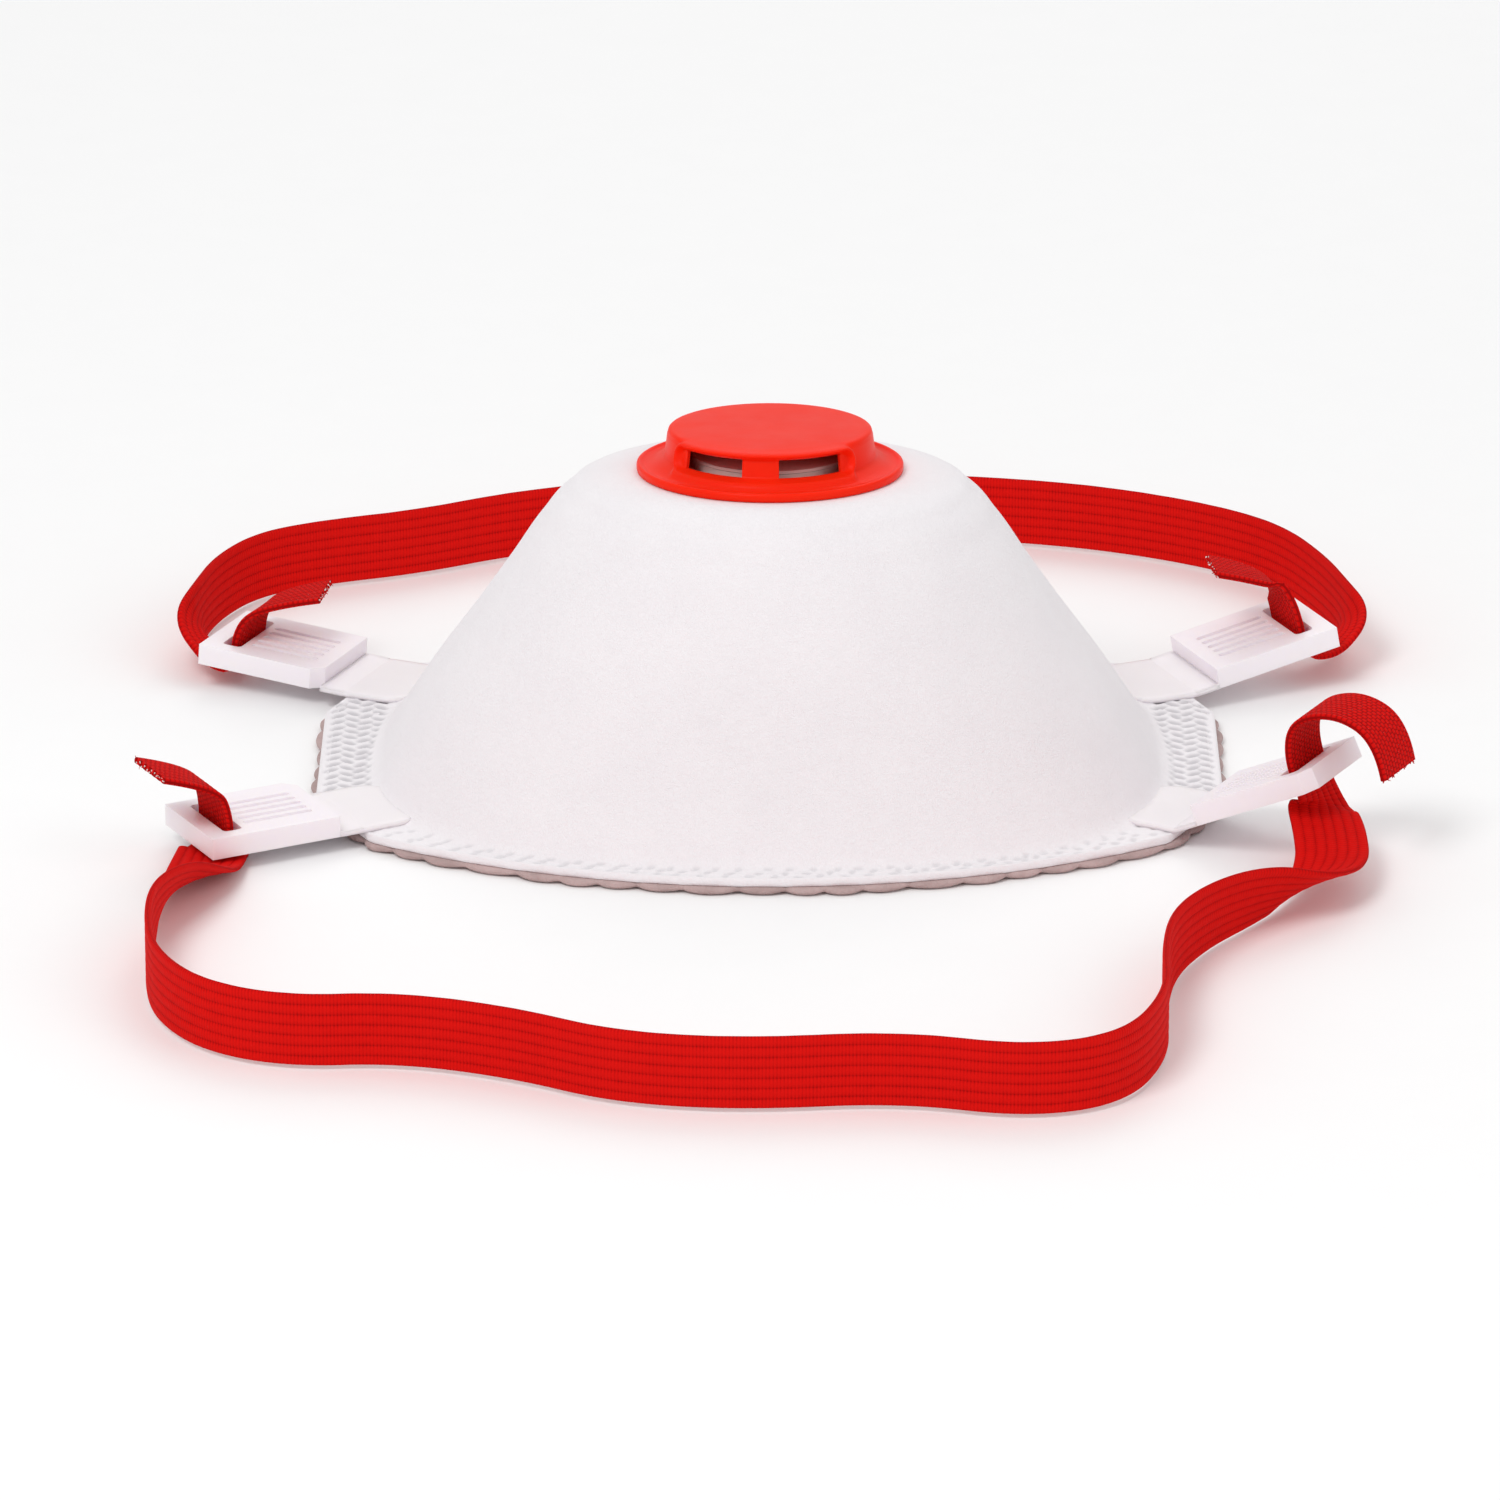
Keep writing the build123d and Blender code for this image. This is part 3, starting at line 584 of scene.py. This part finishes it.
# Each buckle may lift this many degrees from flat; its joint counts from where it lies at rest
LIFT_LIMIT = 60
HINGES = {joint["name"]: joint for joint in frame["joints"]}
BUCKLES = ("lower_right", "lower_left", "upper_right", "upper_left")


def buckle_axes(name):
    """Hinge point, outward direction and hinge direction of a buckle's flat tab, in millimetres."""
    joint = HINGES[f"{name}_hinge"]
    across = Vector(joint["axis"]).normalized()
    outward = across.cross(Vector((0, 0, 1))).normalized()
    origin = Vector(joint["pos_m"]) / MM
    if outward.dot(Vector((origin.x, 0, 0))) < 0:
        outward = -outward
    return origin, outward, across


def tab_half_width(u):
    """Half a tab's width at a distance out from its hinge: its inner end is round in plan."""
    into = max(0.0, (-u - TAB_REACH * 0.45) / (TAB_REACH * 0.55))
    return TAB_HALF_WIDTH * math.sqrt(max(0.0, 1 - into**2.6))


def build_tab(name):
    """The thin tab on the flange and the living hinge that carries on into the buckle's web."""
    origin, outward, across = buckle_axes(name)
    lift = math.radians(LIFT_LIMIT - HINGES[f"{name}_hinge"]["range_deg"][1])
    past_hinge = [-0.6, -0.3, 0.0, 0.3, 1.2, 2.4, 3.6, WEB_COVER]
    stations = np.concatenate([np.linspace(-TAB_REACH, -1.0, 26), past_hinge])
    lanes = np.linspace(-1, 1, 25)
    points = []
    for upper in (1, -1):
        for u in stations:
            half = TAB_TIP_HALF_WIDTH if u == stations[0] else tab_half_width(u)
            # The hinge line is thinned, and the top is rounded at the inner end and along both sides
            thin = 0.05 * math.exp(-((u / 0.35) ** 2))
            inner = 0.15 * math.exp(-((u + TAB_REACH) / 0.35) ** 2)
            bend = lift * min(1, max(0.0, (u + 0.6) / 0.9))
            for lane in lanes:
                edge = 0.12 * max(0.0, abs(lane) - 0.93) / 0.07
                height = upper * (TAB_THICKNESS / 2 - thin - (edge + inner if upper > 0 else 0))
                flat, rise = u, height
                if u > 0:
                    flat = u * math.cos(bend) - height * math.sin(bend)
                    rise = u * math.sin(bend) + height * math.cos(bend)
                place = origin + outward * flat + across * (lane * half)
                points.append((place.x, place.y, place.z + rise))
    count, wide = len(stations), len(lanes)
    under = count * wide
    faces = []
    for r in range(count - 1):
        for c in range(wide - 1):
            a = r * wide + c
            faces.append((a, a + 1, a + wide + 1, a + wide))
            faces.append((under + a, under + a + wide, under + a + wide + 1, under + a + 1))
        for c, flip in ((0, False), (wide - 1, True)):
            a = r * wide + c
            quad = (a, a + wide, under + a + wide, under + a)
            faces.append(quad[::-1] if flip else quad)
    for r, flip in ((0, True), (count - 1, False)):
        for c in range(wide - 1):
            a = r * wide + c
            quad = (a, a + 1, under + a + 1, under + a)
            faces.append(quad[::-1] if flip else quad)
    piece = new_piece(f"{name}_living_hinge", np.array(points) * MM, faces, [buckle_plastic])
    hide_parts(f"{name}_tab")
    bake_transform(piece)


def round_edges(piece, label, width, segments, angle):
    """A bevel, its width in millimetres, on the edges that turn by more than an angle in degrees."""
    bevel = piece.modifiers.new(label, "BEVEL")
    bevel.width = width * MM
    bevel.segments = segments
    bevel.limit_method = "ANGLE"
    bevel.angle_limit = math.radians(angle)
    bevel.harden_normals = True


def soften(node, material, width, segments=3):
    """A carried-over CAD node gets its material and rounded edges."""
    piece = frame["nodes"][node]
    piece.data.materials.clear()
    piece.data.materials.append(material)
    round_edges(piece, "rounded_edges", width, segments, angle=30)
    piece.data.polygons.foreach_set("use_smooth", [True] * len(piece.data.polygons))


for name in BUCKLES:
    build_tab(name)
    soften(f"{name}_buckle", buckle_plastic, 0.3)
soften("valve_base", base_plastic, 0.1)
soften("valve_flap", flap_rubber, 0.12)
soften("valve_retaining_ring", ring_plastic, 0.2)
soften("nose_clip", clip_metal, 0.2)
for node in ("prefilter_layer", "filter_layer", "support_shell", "inner_liner"):
    soften(node, inner_fleece, 0.05, segments=1)

# ---------------------------------------------------------------- valve cover

TURN_COS, TURN_SIN = math.cos(math.radians(VALVE_TURN)), math.sin(math.radians(VALVE_TURN))
TILT_COS, TILT_SIN = math.cos(math.radians(VALVE_TILT)), math.sin(math.radians(VALVE_TILT))
VALVE_X = np.array([TURN_COS, TURN_SIN * TILT_COS, -TURN_SIN * TILT_SIN])
VALVE_Z = np.array([0.0, TILT_SIN, TILT_COS])
VALVE_Y = np.cross(VALVE_Z, VALVE_X)
VALVE_ORIGIN = np.array([0.0, 0.0, CUP_HEIGHT]) + 0.05 * VALVE_Z
WINDOW_FROM, WINDOW_TO, WINDOW_LOW, WINDOW_HIGH = 10.5, 49.0, 2.75, 5.85
FRONT = -90.0
WALL_RADIUS, WALL_DRAFT, WALL_THICKNESS = 17.45, 0.13, 1.15
BROW_TO, BROW_FADE = 62, 14
# The cover's section as (radius, height): its lip, its shoulder at the sides and under the brow, its top
# outside and inside, and the way back to the lip under the wall
LIP = [
    (18.9, 0.0), (21.75, 0.0), (22.02, 0.14), (22.1, 0.45), (22.1, 1.05), (22.02, 1.33), (21.78, 1.49),
    (21.5, 1.47), (21.28, 1.32), (21.08, 1.17), (20.6, 1.14), (20.1, 1.22), (19.5, 1.45), (18.9, 1.75),
    (18.4, 2.05), (17.95, 2.3), (17.65, 2.5), (17.5, 2.7),
]
SIDE_EDGE = [
    (16.93, 6.45), (16.90, 6.7), (16.82, 6.95), (16.62, 7.14), (16.35, 7.25), (15.9, 7.30), (15.0, 7.30),
]
BROW_EDGE = [
    (16.98, 6.32), (16.86, 6.5), (16.62, 6.72), (16.25, 6.92), (15.75, 7.08), (15.1, 7.19), (14.2, 7.26),
]
TOP = [(12.0, 7.3), (8.0, 7.3), (4.0, 7.3), (0.05, 7.3), (0.05, 6.1), (8.0, 6.1), (15.3, 6.1)]
WAY_BACK = [(16.45, 2.6), (17.6, 2.0), (18.9, 1.0)]
# The bead's loop round each window is measured along a wall of this radius
BEAD_WALL, BEAD_HALF_RUN, BEAD_MIDDLE, BEAD_STRAIGHT, BEAD_RADIUS = 17.2, 15.0, 4.3, 0.1, 2.15
BEAD_HEIGHT, BEAD_WIDTH, BEAD_LIFT, WALL_SET_BACK = 0.62, 0.42, 0.35, 0.5
# The rows that the bead may shape: from the lip's hollow to the middle of the shoulder
FIRST_BEAD_ROW, SHOULDER_BEAD_ROWS = 10, 4


def wall_radius(z):
    return WALL_RADIUS - (z - 3.0) * WALL_DRAFT


def build_valve_cover():
    """The exhalation valve's cover: rolled lip, wall with two windows, a bead round them and a domed brow."""
    window_zone = np.unique(np.concatenate([
        np.arange(-65, 65.01, 0.5), [-WINDOW_TO, -WINDOW_FROM, WINDOW_FROM, WINDOW_TO]
    ]))
    degrees = np.concatenate([window_zone, np.arange(67, 293.1, 2.0)])
    count = len(degrees)
    turn = np.radians(degrees + FRONT)
    front = np.minimum(np.abs(degrees), np.abs(degrees - 360))
    brow = np.clip((BROW_TO - front) / BROW_FADE, 0, 1)
    brow = brow * brow * (3 - 2 * brow)
    above_window = [6.12, 6.24]
    levels = np.round(np.concatenate([np.arange(WINDOW_LOW, WINDOW_HIGH + 0.01, 0.155), above_window]), 3)
    window_levels = levels[:-len(above_window)]
    wall = [(wall_radius(z), z) for z in levels]
    inside = [(wall_radius(z) - WALL_THICKNESS, z) for z in window_levels[::-1]]
    rings = [(np.full(count, r), np.full(count, z)) for r, z in LIP + wall]
    for (r0, z0), (r1, z1) in zip(SIDE_EDGE, BROW_EDGE):
        rings.append((r0 + (r1 - r0) * brow, z0 + (z1 - z0) * brow))
    rings += [(np.full(count, r), np.full(count, z)) for r, z in TOP + inside + WAY_BACK]
    radii, heights = (np.array(part) for part in zip(*rings))

    # A bead runs round both windows, and the wall inside it is set back a little
    beaded = slice(FIRST_BEAD_ROW, len(LIP) + len(wall) + SHOULDER_BEAD_ROWS)
    past_run = np.maximum(np.radians(front)[None, :] * BEAD_WALL - BEAD_HALF_RUN, 0)
    past_middle = np.maximum(np.abs(heights[beaded] - BEAD_MIDDLE) - BEAD_STRAIGHT, 0)
    from_bead = np.hypot(past_run, past_middle) - BEAD_RADIUS
    bead = BEAD_HEIGHT * np.exp(-((from_bead / BEAD_WIDTH) ** 2))
    radii[beaded] += bead - WALL_SET_BACK * np.clip(-from_bead / 0.6 - 0.5, 0, 1)
    heights[beaded] += bead * BEAD_LIFT
    places = (
        VALVE_ORIGIN
        + (radii * np.cos(turn))[..., None] * VALVE_X
        + (radii * np.sin(turn))[..., None] * VALVE_Y
        + heights[..., None] * VALVE_Z
    )
    rows = len(radii)
    outer_first = len(LIP)
    inner_first = len(LIP) + len(wall) + len(SIDE_EDGE) + len(TOP)
    tall = len(window_levels) - 1
    middle = (degrees + np.roll(degrees, -1)) / 2
    opened = (np.abs(middle) > WINDOW_FROM) & (np.abs(middle) < WINDOW_TO)
    faces = []
    for r in range(rows):
        by_window = outer_first <= r < outer_first + tall or inner_first <= r < inner_first + tall
        below = ((r + 1) % rows) * count
        for c in range(count):
            if opened[c] and by_window:
                continue
            after = (c + 1) % count
            faces.append((r * count + c, r * count + after, below + after, below + c))

    def outer(level, column):
        return (outer_first + level) * count + column

    def inner(level, column):
        return (inner_first + tall - level) * count + column

    # The windows' sills, lintels and sides
    for c in range(count):
        if not opened[c]:
            continue
        after = (c + 1) % count
        faces.append((outer(0, c), outer(0, after), inner(0, after), inner(0, c)))
        faces.append((outer(tall, after), outer(tall, c), inner(tall, c), inner(tall, after)))
        for column, at_side in ((c, not opened[c - 1]), (after, not opened[after])):
            for level in range(tall if at_side else 0):
                over = level + 1
                quad = (outer(level, column), inner(level, column), inner(over, column), outer(over, column))
                faces.append(quad if column == c else quad[::-1])
    piece = new_piece("valve_cover_shell", places.reshape(-1, 3) * MM, faces, [red_plastic])
    round_edges(piece, "rounded_windows", 0.1, segments=2, angle=50)
    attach(piece, "mask")
    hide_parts("valve_cover")


FOAM_CELL, FOAM_ROUNDING, FOAM_ROUNDS = 0.7 * MM, 0.6, 7


def build_foam_strip():
    """The foam under the nose clip: the CAD strip with its edges rounded."""
    source = frame["nodes"]["nose_foam"]
    carrier = bpy.data.objects.new("foam_source", source.data.copy())
    bpy.context.scene.collection.objects.link(carrier)
    remesh = carrier.modifiers.new("even_cells", "REMESH")
    remesh.mode = "VOXEL"
    remesh.voxel_size = FOAM_CELL
    rounding = carrier.modifiers.new("round_edges", "SMOOTH")
    rounding.factor = FOAM_ROUNDING
    rounding.iterations = FOAM_ROUNDS
    shape = carrier.evaluated_get(bpy.context.evaluated_depsgraph_get())
    mesh = bpy.data.meshes.new_from_object(shape)
    bpy.data.objects.remove(carrier)
    mesh.materials.clear()
    mesh.materials.append(nose_foam_material)
    mesh.polygons.foreach_set("use_smooth", [True] * len(mesh.polygons))
    piece = bpy.data.objects.new("nose_foam_strip", mesh)
    bpy.context.scene.collection.objects.link(piece)
    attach(piece, "mask")
    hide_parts("nose_foam")


build_valve_cover()
build_foam_strip()

# ---------------------------------------------------------------- straps

STRAP_WIDTH, STRAP_HALF_THICKNESS = 12.0, 0.52
POINTS_A_SPAN, STATION = 24, 0.6
EDGE_Z = 6.4
EDGE_ON = (0, 0, 1)
# Each point of a route is a control point of the strap's middle, with the direction of its width there
LOWER_ROUTE = [
    ((-101, -43.2, 16.5), (0.467, -0.884, 0)),
    ((-92.5, -38.7, 13.5), (0.467, -0.884, 0)),
    ((-90.68, -37.78, 8.75), (0.467, -0.884, 0)),
    ((-90.68, -37.78, 1.25), (0.467, -0.884, 0)),
    ((-91.2, -41.0, 1.3), (1, -0.2, 0)),
    ((-92, -48, 1.5), (1, -0.1, 0)),
    ((-93.5, -57, 3.0), (1, 0, 0.3)),
    ((-96.5, -69, 5.9), (0.6, 0, 0.8)),
    ((-98.5, -82, EDGE_Z), EDGE_ON),
    ((-98.8, -97, EDGE_Z), EDGE_ON),
    ((-96.5, -112, EDGE_Z), EDGE_ON),
    ((-88.5, -125, EDGE_Z), EDGE_ON),
    ((-75, -131.5, EDGE_Z), EDGE_ON),
    ((-58, -130, EDGE_Z), EDGE_ON),
    ((-40, -136, EDGE_Z), EDGE_ON),
    ((-24, -146, EDGE_Z), EDGE_ON),
    ((-4, -149, EDGE_Z), EDGE_ON),
    ((20, -146, EDGE_Z), EDGE_ON),
    ((40, -152, EDGE_Z), EDGE_ON),
    ((55, -146, EDGE_Z), EDGE_ON),
    ((62, -128, EDGE_Z), EDGE_ON),
    ((62, -110, EDGE_Z), EDGE_ON),
    ((64, -94, EDGE_Z), EDGE_ON),
    ((70, -82, EDGE_Z), (0.1, 0, 1)),
    ((78, -73, 6.1), (0.4, 0, 0.9)),
    ((87, -65, 4.6), (0.8, -0.3, 0.5)),
    ((91.5, -55, 5), (1, 0, 0.1)),
    ((91.3, -46, 7), (1, 0.2, 0)),
    ((90.5, -39.5, 8.2), (0.8, 0.6, 0)),
    ((90.29, -37.58, 9.12), (0.467, 0.884, 0)),
    ((86.74, -35.7, 17.73), (0.467, 0.884, 0)),
    ((87.5, -36, 24.5), (0.467, 0.884, 0)),
    ((94.5, -39.8, 27), (0.467, 0.884, 0)),
    ((101, -43.3, 23.5), (0.467, 0.884, 0)),
    ((102.3, -44, 17), (0.467, 0.884, 0)),
]
UPPER_ROUTE = [
    ((-76, 45, 16), (-0.399, -0.917, 0)),
    ((-83.5, 46, 14.6), (-0.399, -0.917, 0)),
    ((-89, 46.45, 11.22), (-0.399, -0.917, 0)),
    ((-89.56, 46.69, 2.54), (-0.399, -0.917, 0)),
    ((-93.8, 48.6, 3.1), (-0.399, -0.917, 0)),
    ((-98, 52, 5.3), (-0.6, -0.5, 0.5)),
    ((-99, 60, EDGE_Z), EDGE_ON),
    ((-96, 74, EDGE_Z), EDGE_ON),
    ((-89.5, 86, EDGE_Z), EDGE_ON),
    ((-78, 92.5, EDGE_Z), EDGE_ON),
    ((-62, 98, EDGE_Z), EDGE_ON),
    ((-45, 108, EDGE_Z), EDGE_ON),
    ((-26, 114, EDGE_Z), EDGE_ON),
    ((0, 117, EDGE_Z), EDGE_ON),
    ((26, 117.5, EDGE_Z), EDGE_ON),
    ((46, 114.5, EDGE_Z), EDGE_ON),
    ((62, 109.5, EDGE_Z), EDGE_ON),
    ((78, 101, EDGE_Z), EDGE_ON),
    ((89.5, 90.5, EDGE_Z), EDGE_ON),
    ((96, 75, EDGE_Z), EDGE_ON),
    ((99.5, 61, EDGE_Z), EDGE_ON),
    ((98.5, 52.5, 5.9), (0.6, -0.5, 0.5)),
    ((94.3, 48.5, 4.8), (0.399, -0.917, 0)),
    ((89.44, 46.64, 5.52), (0.399, -0.917, 0)),
    ((87.95, 45.99, 13.86), (0.399, -0.917, 0)),
    ((85, 48, 18), (0.399, -0.917, 0)),
    ((75.5, 47, 20), (0.399, -0.917, 0)),
]


def nurbs_points(name, points):
    """Points along a smooth spline with these control points, as Blender evaluates it with no bevel."""
    curve = bpy.data.curves.new(name, "CURVE")
    curve.dimensions = "3D"
    curve.resolution_u = POINTS_A_SPAN
    spline = curve.splines.new("NURBS")
    spline.points.add(len(points) - 1)
    for made, place in zip(spline.points, points):
        made.co = (*place, 1)
    spline.order_u = 3
    spline.use_endpoint_u = True
    carrier = bpy.data.objects.new(name, curve)
    mesh = bpy.data.meshes.new_from_object(carrier)
    found = np.array([v.co for v in mesh.vertices], float)
    bpy.data.meshes.remove(mesh)
    bpy.data.objects.remove(carrier)
    bpy.data.curves.remove(curve)
    return found


def strap_line(name, route):
    """Even stations down a strap: its middle, the half-width vector and its normal, in millimetres."""
    middle = nurbs_points(name, [Vector(at) * MM for at, _ in route]) / MM
    offset = [(Vector(at) + Vector(width).normalized() * (STRAP_WIDTH / 2)) * MM for at, width in route]
    side = nurbs_points(name, offset) / MM - middle
    distance = np.concatenate([[0], np.cumsum(np.linalg.norm(np.diff(middle, axis=0), axis=1))])
    even = np.linspace(0, distance[-1], int(distance[-1] / STATION))
    middle = np.stack([np.interp(even, distance, middle[:, k]) for k in range(3)], axis=1)
    side = np.stack([np.interp(even, distance, side[:, k]) for k in range(3)], axis=1)
    along = np.gradient(middle, axis=0)
    along /= np.linalg.norm(along, axis=1)[:, None]
    side -= (side * along).sum(1)[:, None] * along
    side *= (STRAP_WIDTH / 2) / np.linalg.norm(side, axis=1)[:, None]
    normal = np.cross(along, side)
    normal /= np.linalg.norm(normal, axis=1)[:, None]
    return middle, side, normal, even


LANES = RIBS * 8 + 1
RIB_RELIEF, TAIL_RELIEF = 0.17, 0.06
# Points under NEAR_TABLE are gathered just over the table, from TABLE_GAP up, so that no edge dips below it
NEAR_TABLE, DEEPEST, TABLE_GAP, GATHERED = 0.6, -1.2, 0.06, 0.3


def build_band(name, line, first, last, tail, node):
    """One half of a strap as a ribbed band, with a flatter basket weave on its loose tail."""
    middle, side, normal, even = (part[first:last] for part in line)
    count = len(middle)
    across = np.linspace(-1, 1, LANES)
    ribs = np.abs(np.cos(np.pi * RIBS * (across + 1) / 2 + np.pi / 2)) ** 0.6
    edge = np.sqrt(np.clip((1 - np.abs(across)) / 0.045, 0, 1))
    on_tail = (even >= tail[0]) & (even <= tail[1])
    relief = np.where(on_tail, TAIL_RELIEF, RIB_RELIEF)[:, None]
    half = (STRAP_HALF_THICKNESS - relief * (1 - ribs[None, :])) * (0.25 + 0.75 * edge[None, :])
    ripple = 0.10 * np.sin(even / 1.5) + 0.08 * np.sin(even / 0.83 + 1.0)
    reach = across[None, :] * (1 + 0.012 * ripple[:, None] * (np.abs(across[None, :]) > 0.98))
    flat = middle[:, None, :] + side[:, None, :] * reach[:, :, None]
    top = flat + normal[:, None, :] * half[:, :, None]
    bottom = flat - normal[:, None, :] * half[:, :, None]
    # One closed tube: over the top from edge to edge, then back under it
    ring = np.concatenate([top, bottom[:, ::-1]], axis=1)
    wide = ring.shape[1]
    points = ring.reshape(-1, 3)
    low = points[:, 2] < NEAR_TABLE
    points[low, 2] = TABLE_GAP + (np.maximum(points[low, 2], DEEPEST) - DEEPEST) * GATHERED
    faces = grid_faces(count, wide)
    face_materials = np.repeat(on_tail[:-1].astype(int), wide)
    # Both ends are closed by faces with corners of their own, so that the shading stays smooth
    rows = np.repeat(np.arange(count), wide)
    for row in (0, count - 1):
        base = len(points)
        points = np.concatenate([points, points[row * wide:(row + 1) * wide]])
        rows = np.concatenate([rows, np.full(wide, row)])
        for k in range(LANES - 1):
            quad = (base + k, base + k + 1, base + wide - 2 - k, base + wide - 1 - k)
            faces.append(quad if row == 0 else quad[::-1])
        face_materials = np.concatenate([face_materials, [int(on_tail[row])] * (LANES - 1)])
    piece = new_piece(
        name, points * MM, faces, [ribbed_elastic, basket_elastic], face_materials=face_materials.tolist()
    )
    weave = piece.data.uv_layers.new(name="weave")
    corner = np.zeros(len(piece.data.loops), int)
    piece.data.loops.foreach_get("vertex_index", corner)
    place = corner % wide
    lane = np.where(place < LANES, place, wide - 1 - place) / (LANES - 1)
    uv = np.stack([lane, even[rows[corner]] * MM], axis=1)
    weave.data.foreach_set("uv", uv.astype(np.float32).ravel())
    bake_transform(piece)
    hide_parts(node)


THREADS, THREAD_STEPS, THREAD_SIDES = 44, 4, 5
THREAD_RADIUS, CORE_RADIUS = 0.13, 0.20


def build_fray(name, line, at_start, body):
    """Loose threads where a strap was cut: red yarn, with the pale rubber cores showing here and there."""
    middle, side, normal, _ = line
    end = 0 if at_start else -1
    outward = (middle[0] - middle[2]) if at_start else (middle[-1] - middle[-3])
    outward = outward / np.linalg.norm(outward)
    half_width, thickness = side[end], normal[end]
    across_unit = half_width / (STRAP_WIDTH / 2)
    threads = np.random.default_rng(len(name))
    points, faces, kinds = [], [], []
    for k in range(THREADS):
        across = -0.97 + 1.94 * (k + threads.uniform(0, 1)) / THREADS
        core = k % 3 == 1
        root = middle[end] + half_width * across + thickness * threads.uniform(-0.3, 0.3) - outward * 0.3
        lean = outward + 0.25 * threads.normal(0, 1) * across_unit + 0.25 * threads.normal(0, 1) * thickness
        lean /= np.linalg.norm(lean)
        long = threads.uniform(0.35, 0.55) if core else threads.uniform(0.35, 0.85)
        radius = CORE_RADIUS if core else THREAD_RADIUS
        bow = thickness * threads.normal(0, 0.25) + across_unit * threads.normal(0, 0.3)
        start = len(points)
        for step in range(THREAD_STEPS + 1):
            s = step / THREAD_STEPS
            spot = root + lean * (long * s) + bow * s * s
            for corner in range(THREAD_SIDES):
                turn = 2 * math.pi * corner / THREAD_SIDES
                around = math.cos(turn) * thickness + math.sin(turn) * across_unit
                points.append(spot + radius * (1 - 0.35 * s) * around)
        for step in range(THREAD_STEPS):
            row = start + step * THREAD_SIDES
            for corner in range(THREAD_SIDES):
                a, b = row + corner, row + (corner + 1) % THREAD_SIDES
                faces.append((a, b, b + THREAD_SIDES, a + THREAD_SIDES))
        tip = start + THREAD_STEPS * THREAD_SIDES
        faces.append(tuple(tip + corner for corner in range(THREAD_SIDES)))
        faces.append(tuple(start + corner for corner in reversed(range(THREAD_SIDES))))
        kinds += [int(core)] * (THREAD_STEPS * THREAD_SIDES + 2)
    if not at_start:
        faces = [face[::-1] for face in faces]
    piece = new_piece(name, np.array(points) * MM, faces, [yarn, rubber_core], face_materials=kinds)
    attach(piece, body)


def near_index(line, place):
    """Which of a strap's stations is nearest to a place."""
    return int(np.linalg.norm(line[0] - np.array(place), axis=1).argmin())


lower = strap_line("lower_line", LOWER_ROUTE)
upper = strap_line("upper_line", UPPER_ROUTE)
lower_cut = near_index(lower, (-4, -149, EDGE_Z))
upper_cut = near_index(upper, (0, 117, EDGE_Z))
# Where each strap passes through its buckles' slots, as a distance along the strap
slot_at = {
    name: line[3][near_index(line, place)]
    for name, line, place in (
        ("lower_right", lower, (-90.7, -37.8, 5)),
        ("lower_left", lower, (88.2, -36.4, 14.5)),
        ("upper_right", upper, (-89.3, 46.6, 6.0)),
        ("upper_left", upper, (88.7, 46.3, 9.5)),
    )
}
build_band("lower_strap_right", lower, 0, lower_cut + 1, (0, slot_at["lower_right"]),
           "lower_strap")
build_band("lower_strap_left", lower, lower_cut, None, (slot_at["lower_left"], math.inf),
           "lower_strap")
build_band("upper_strap_right", upper, 0, upper_cut + 1, (0, slot_at["upper_right"]),
           "upper_strap")
build_band("upper_strap_left", upper, upper_cut, None, (slot_at["upper_left"], math.inf),
           "upper_strap")

for name in BUCKLES:
    line = lower if "lower" in name else upper
    build_fray(f"{name}_frayed_end", line, at_start="right" in name, body=f"{name}_frame")

# ---------------------------------------------------------------- floor

FLOOR_REACH, FLOOR_Z = 6, -0.0002
corners = [(x * FLOOR_REACH, y * FLOOR_REACH, FLOOR_Z) for x, y in ((-1, -1), (1, -1), (1, 1), (-1, 1))]
floor = new_piece("floor", corners, [(0, 1, 2, 3)], [floor_paint])
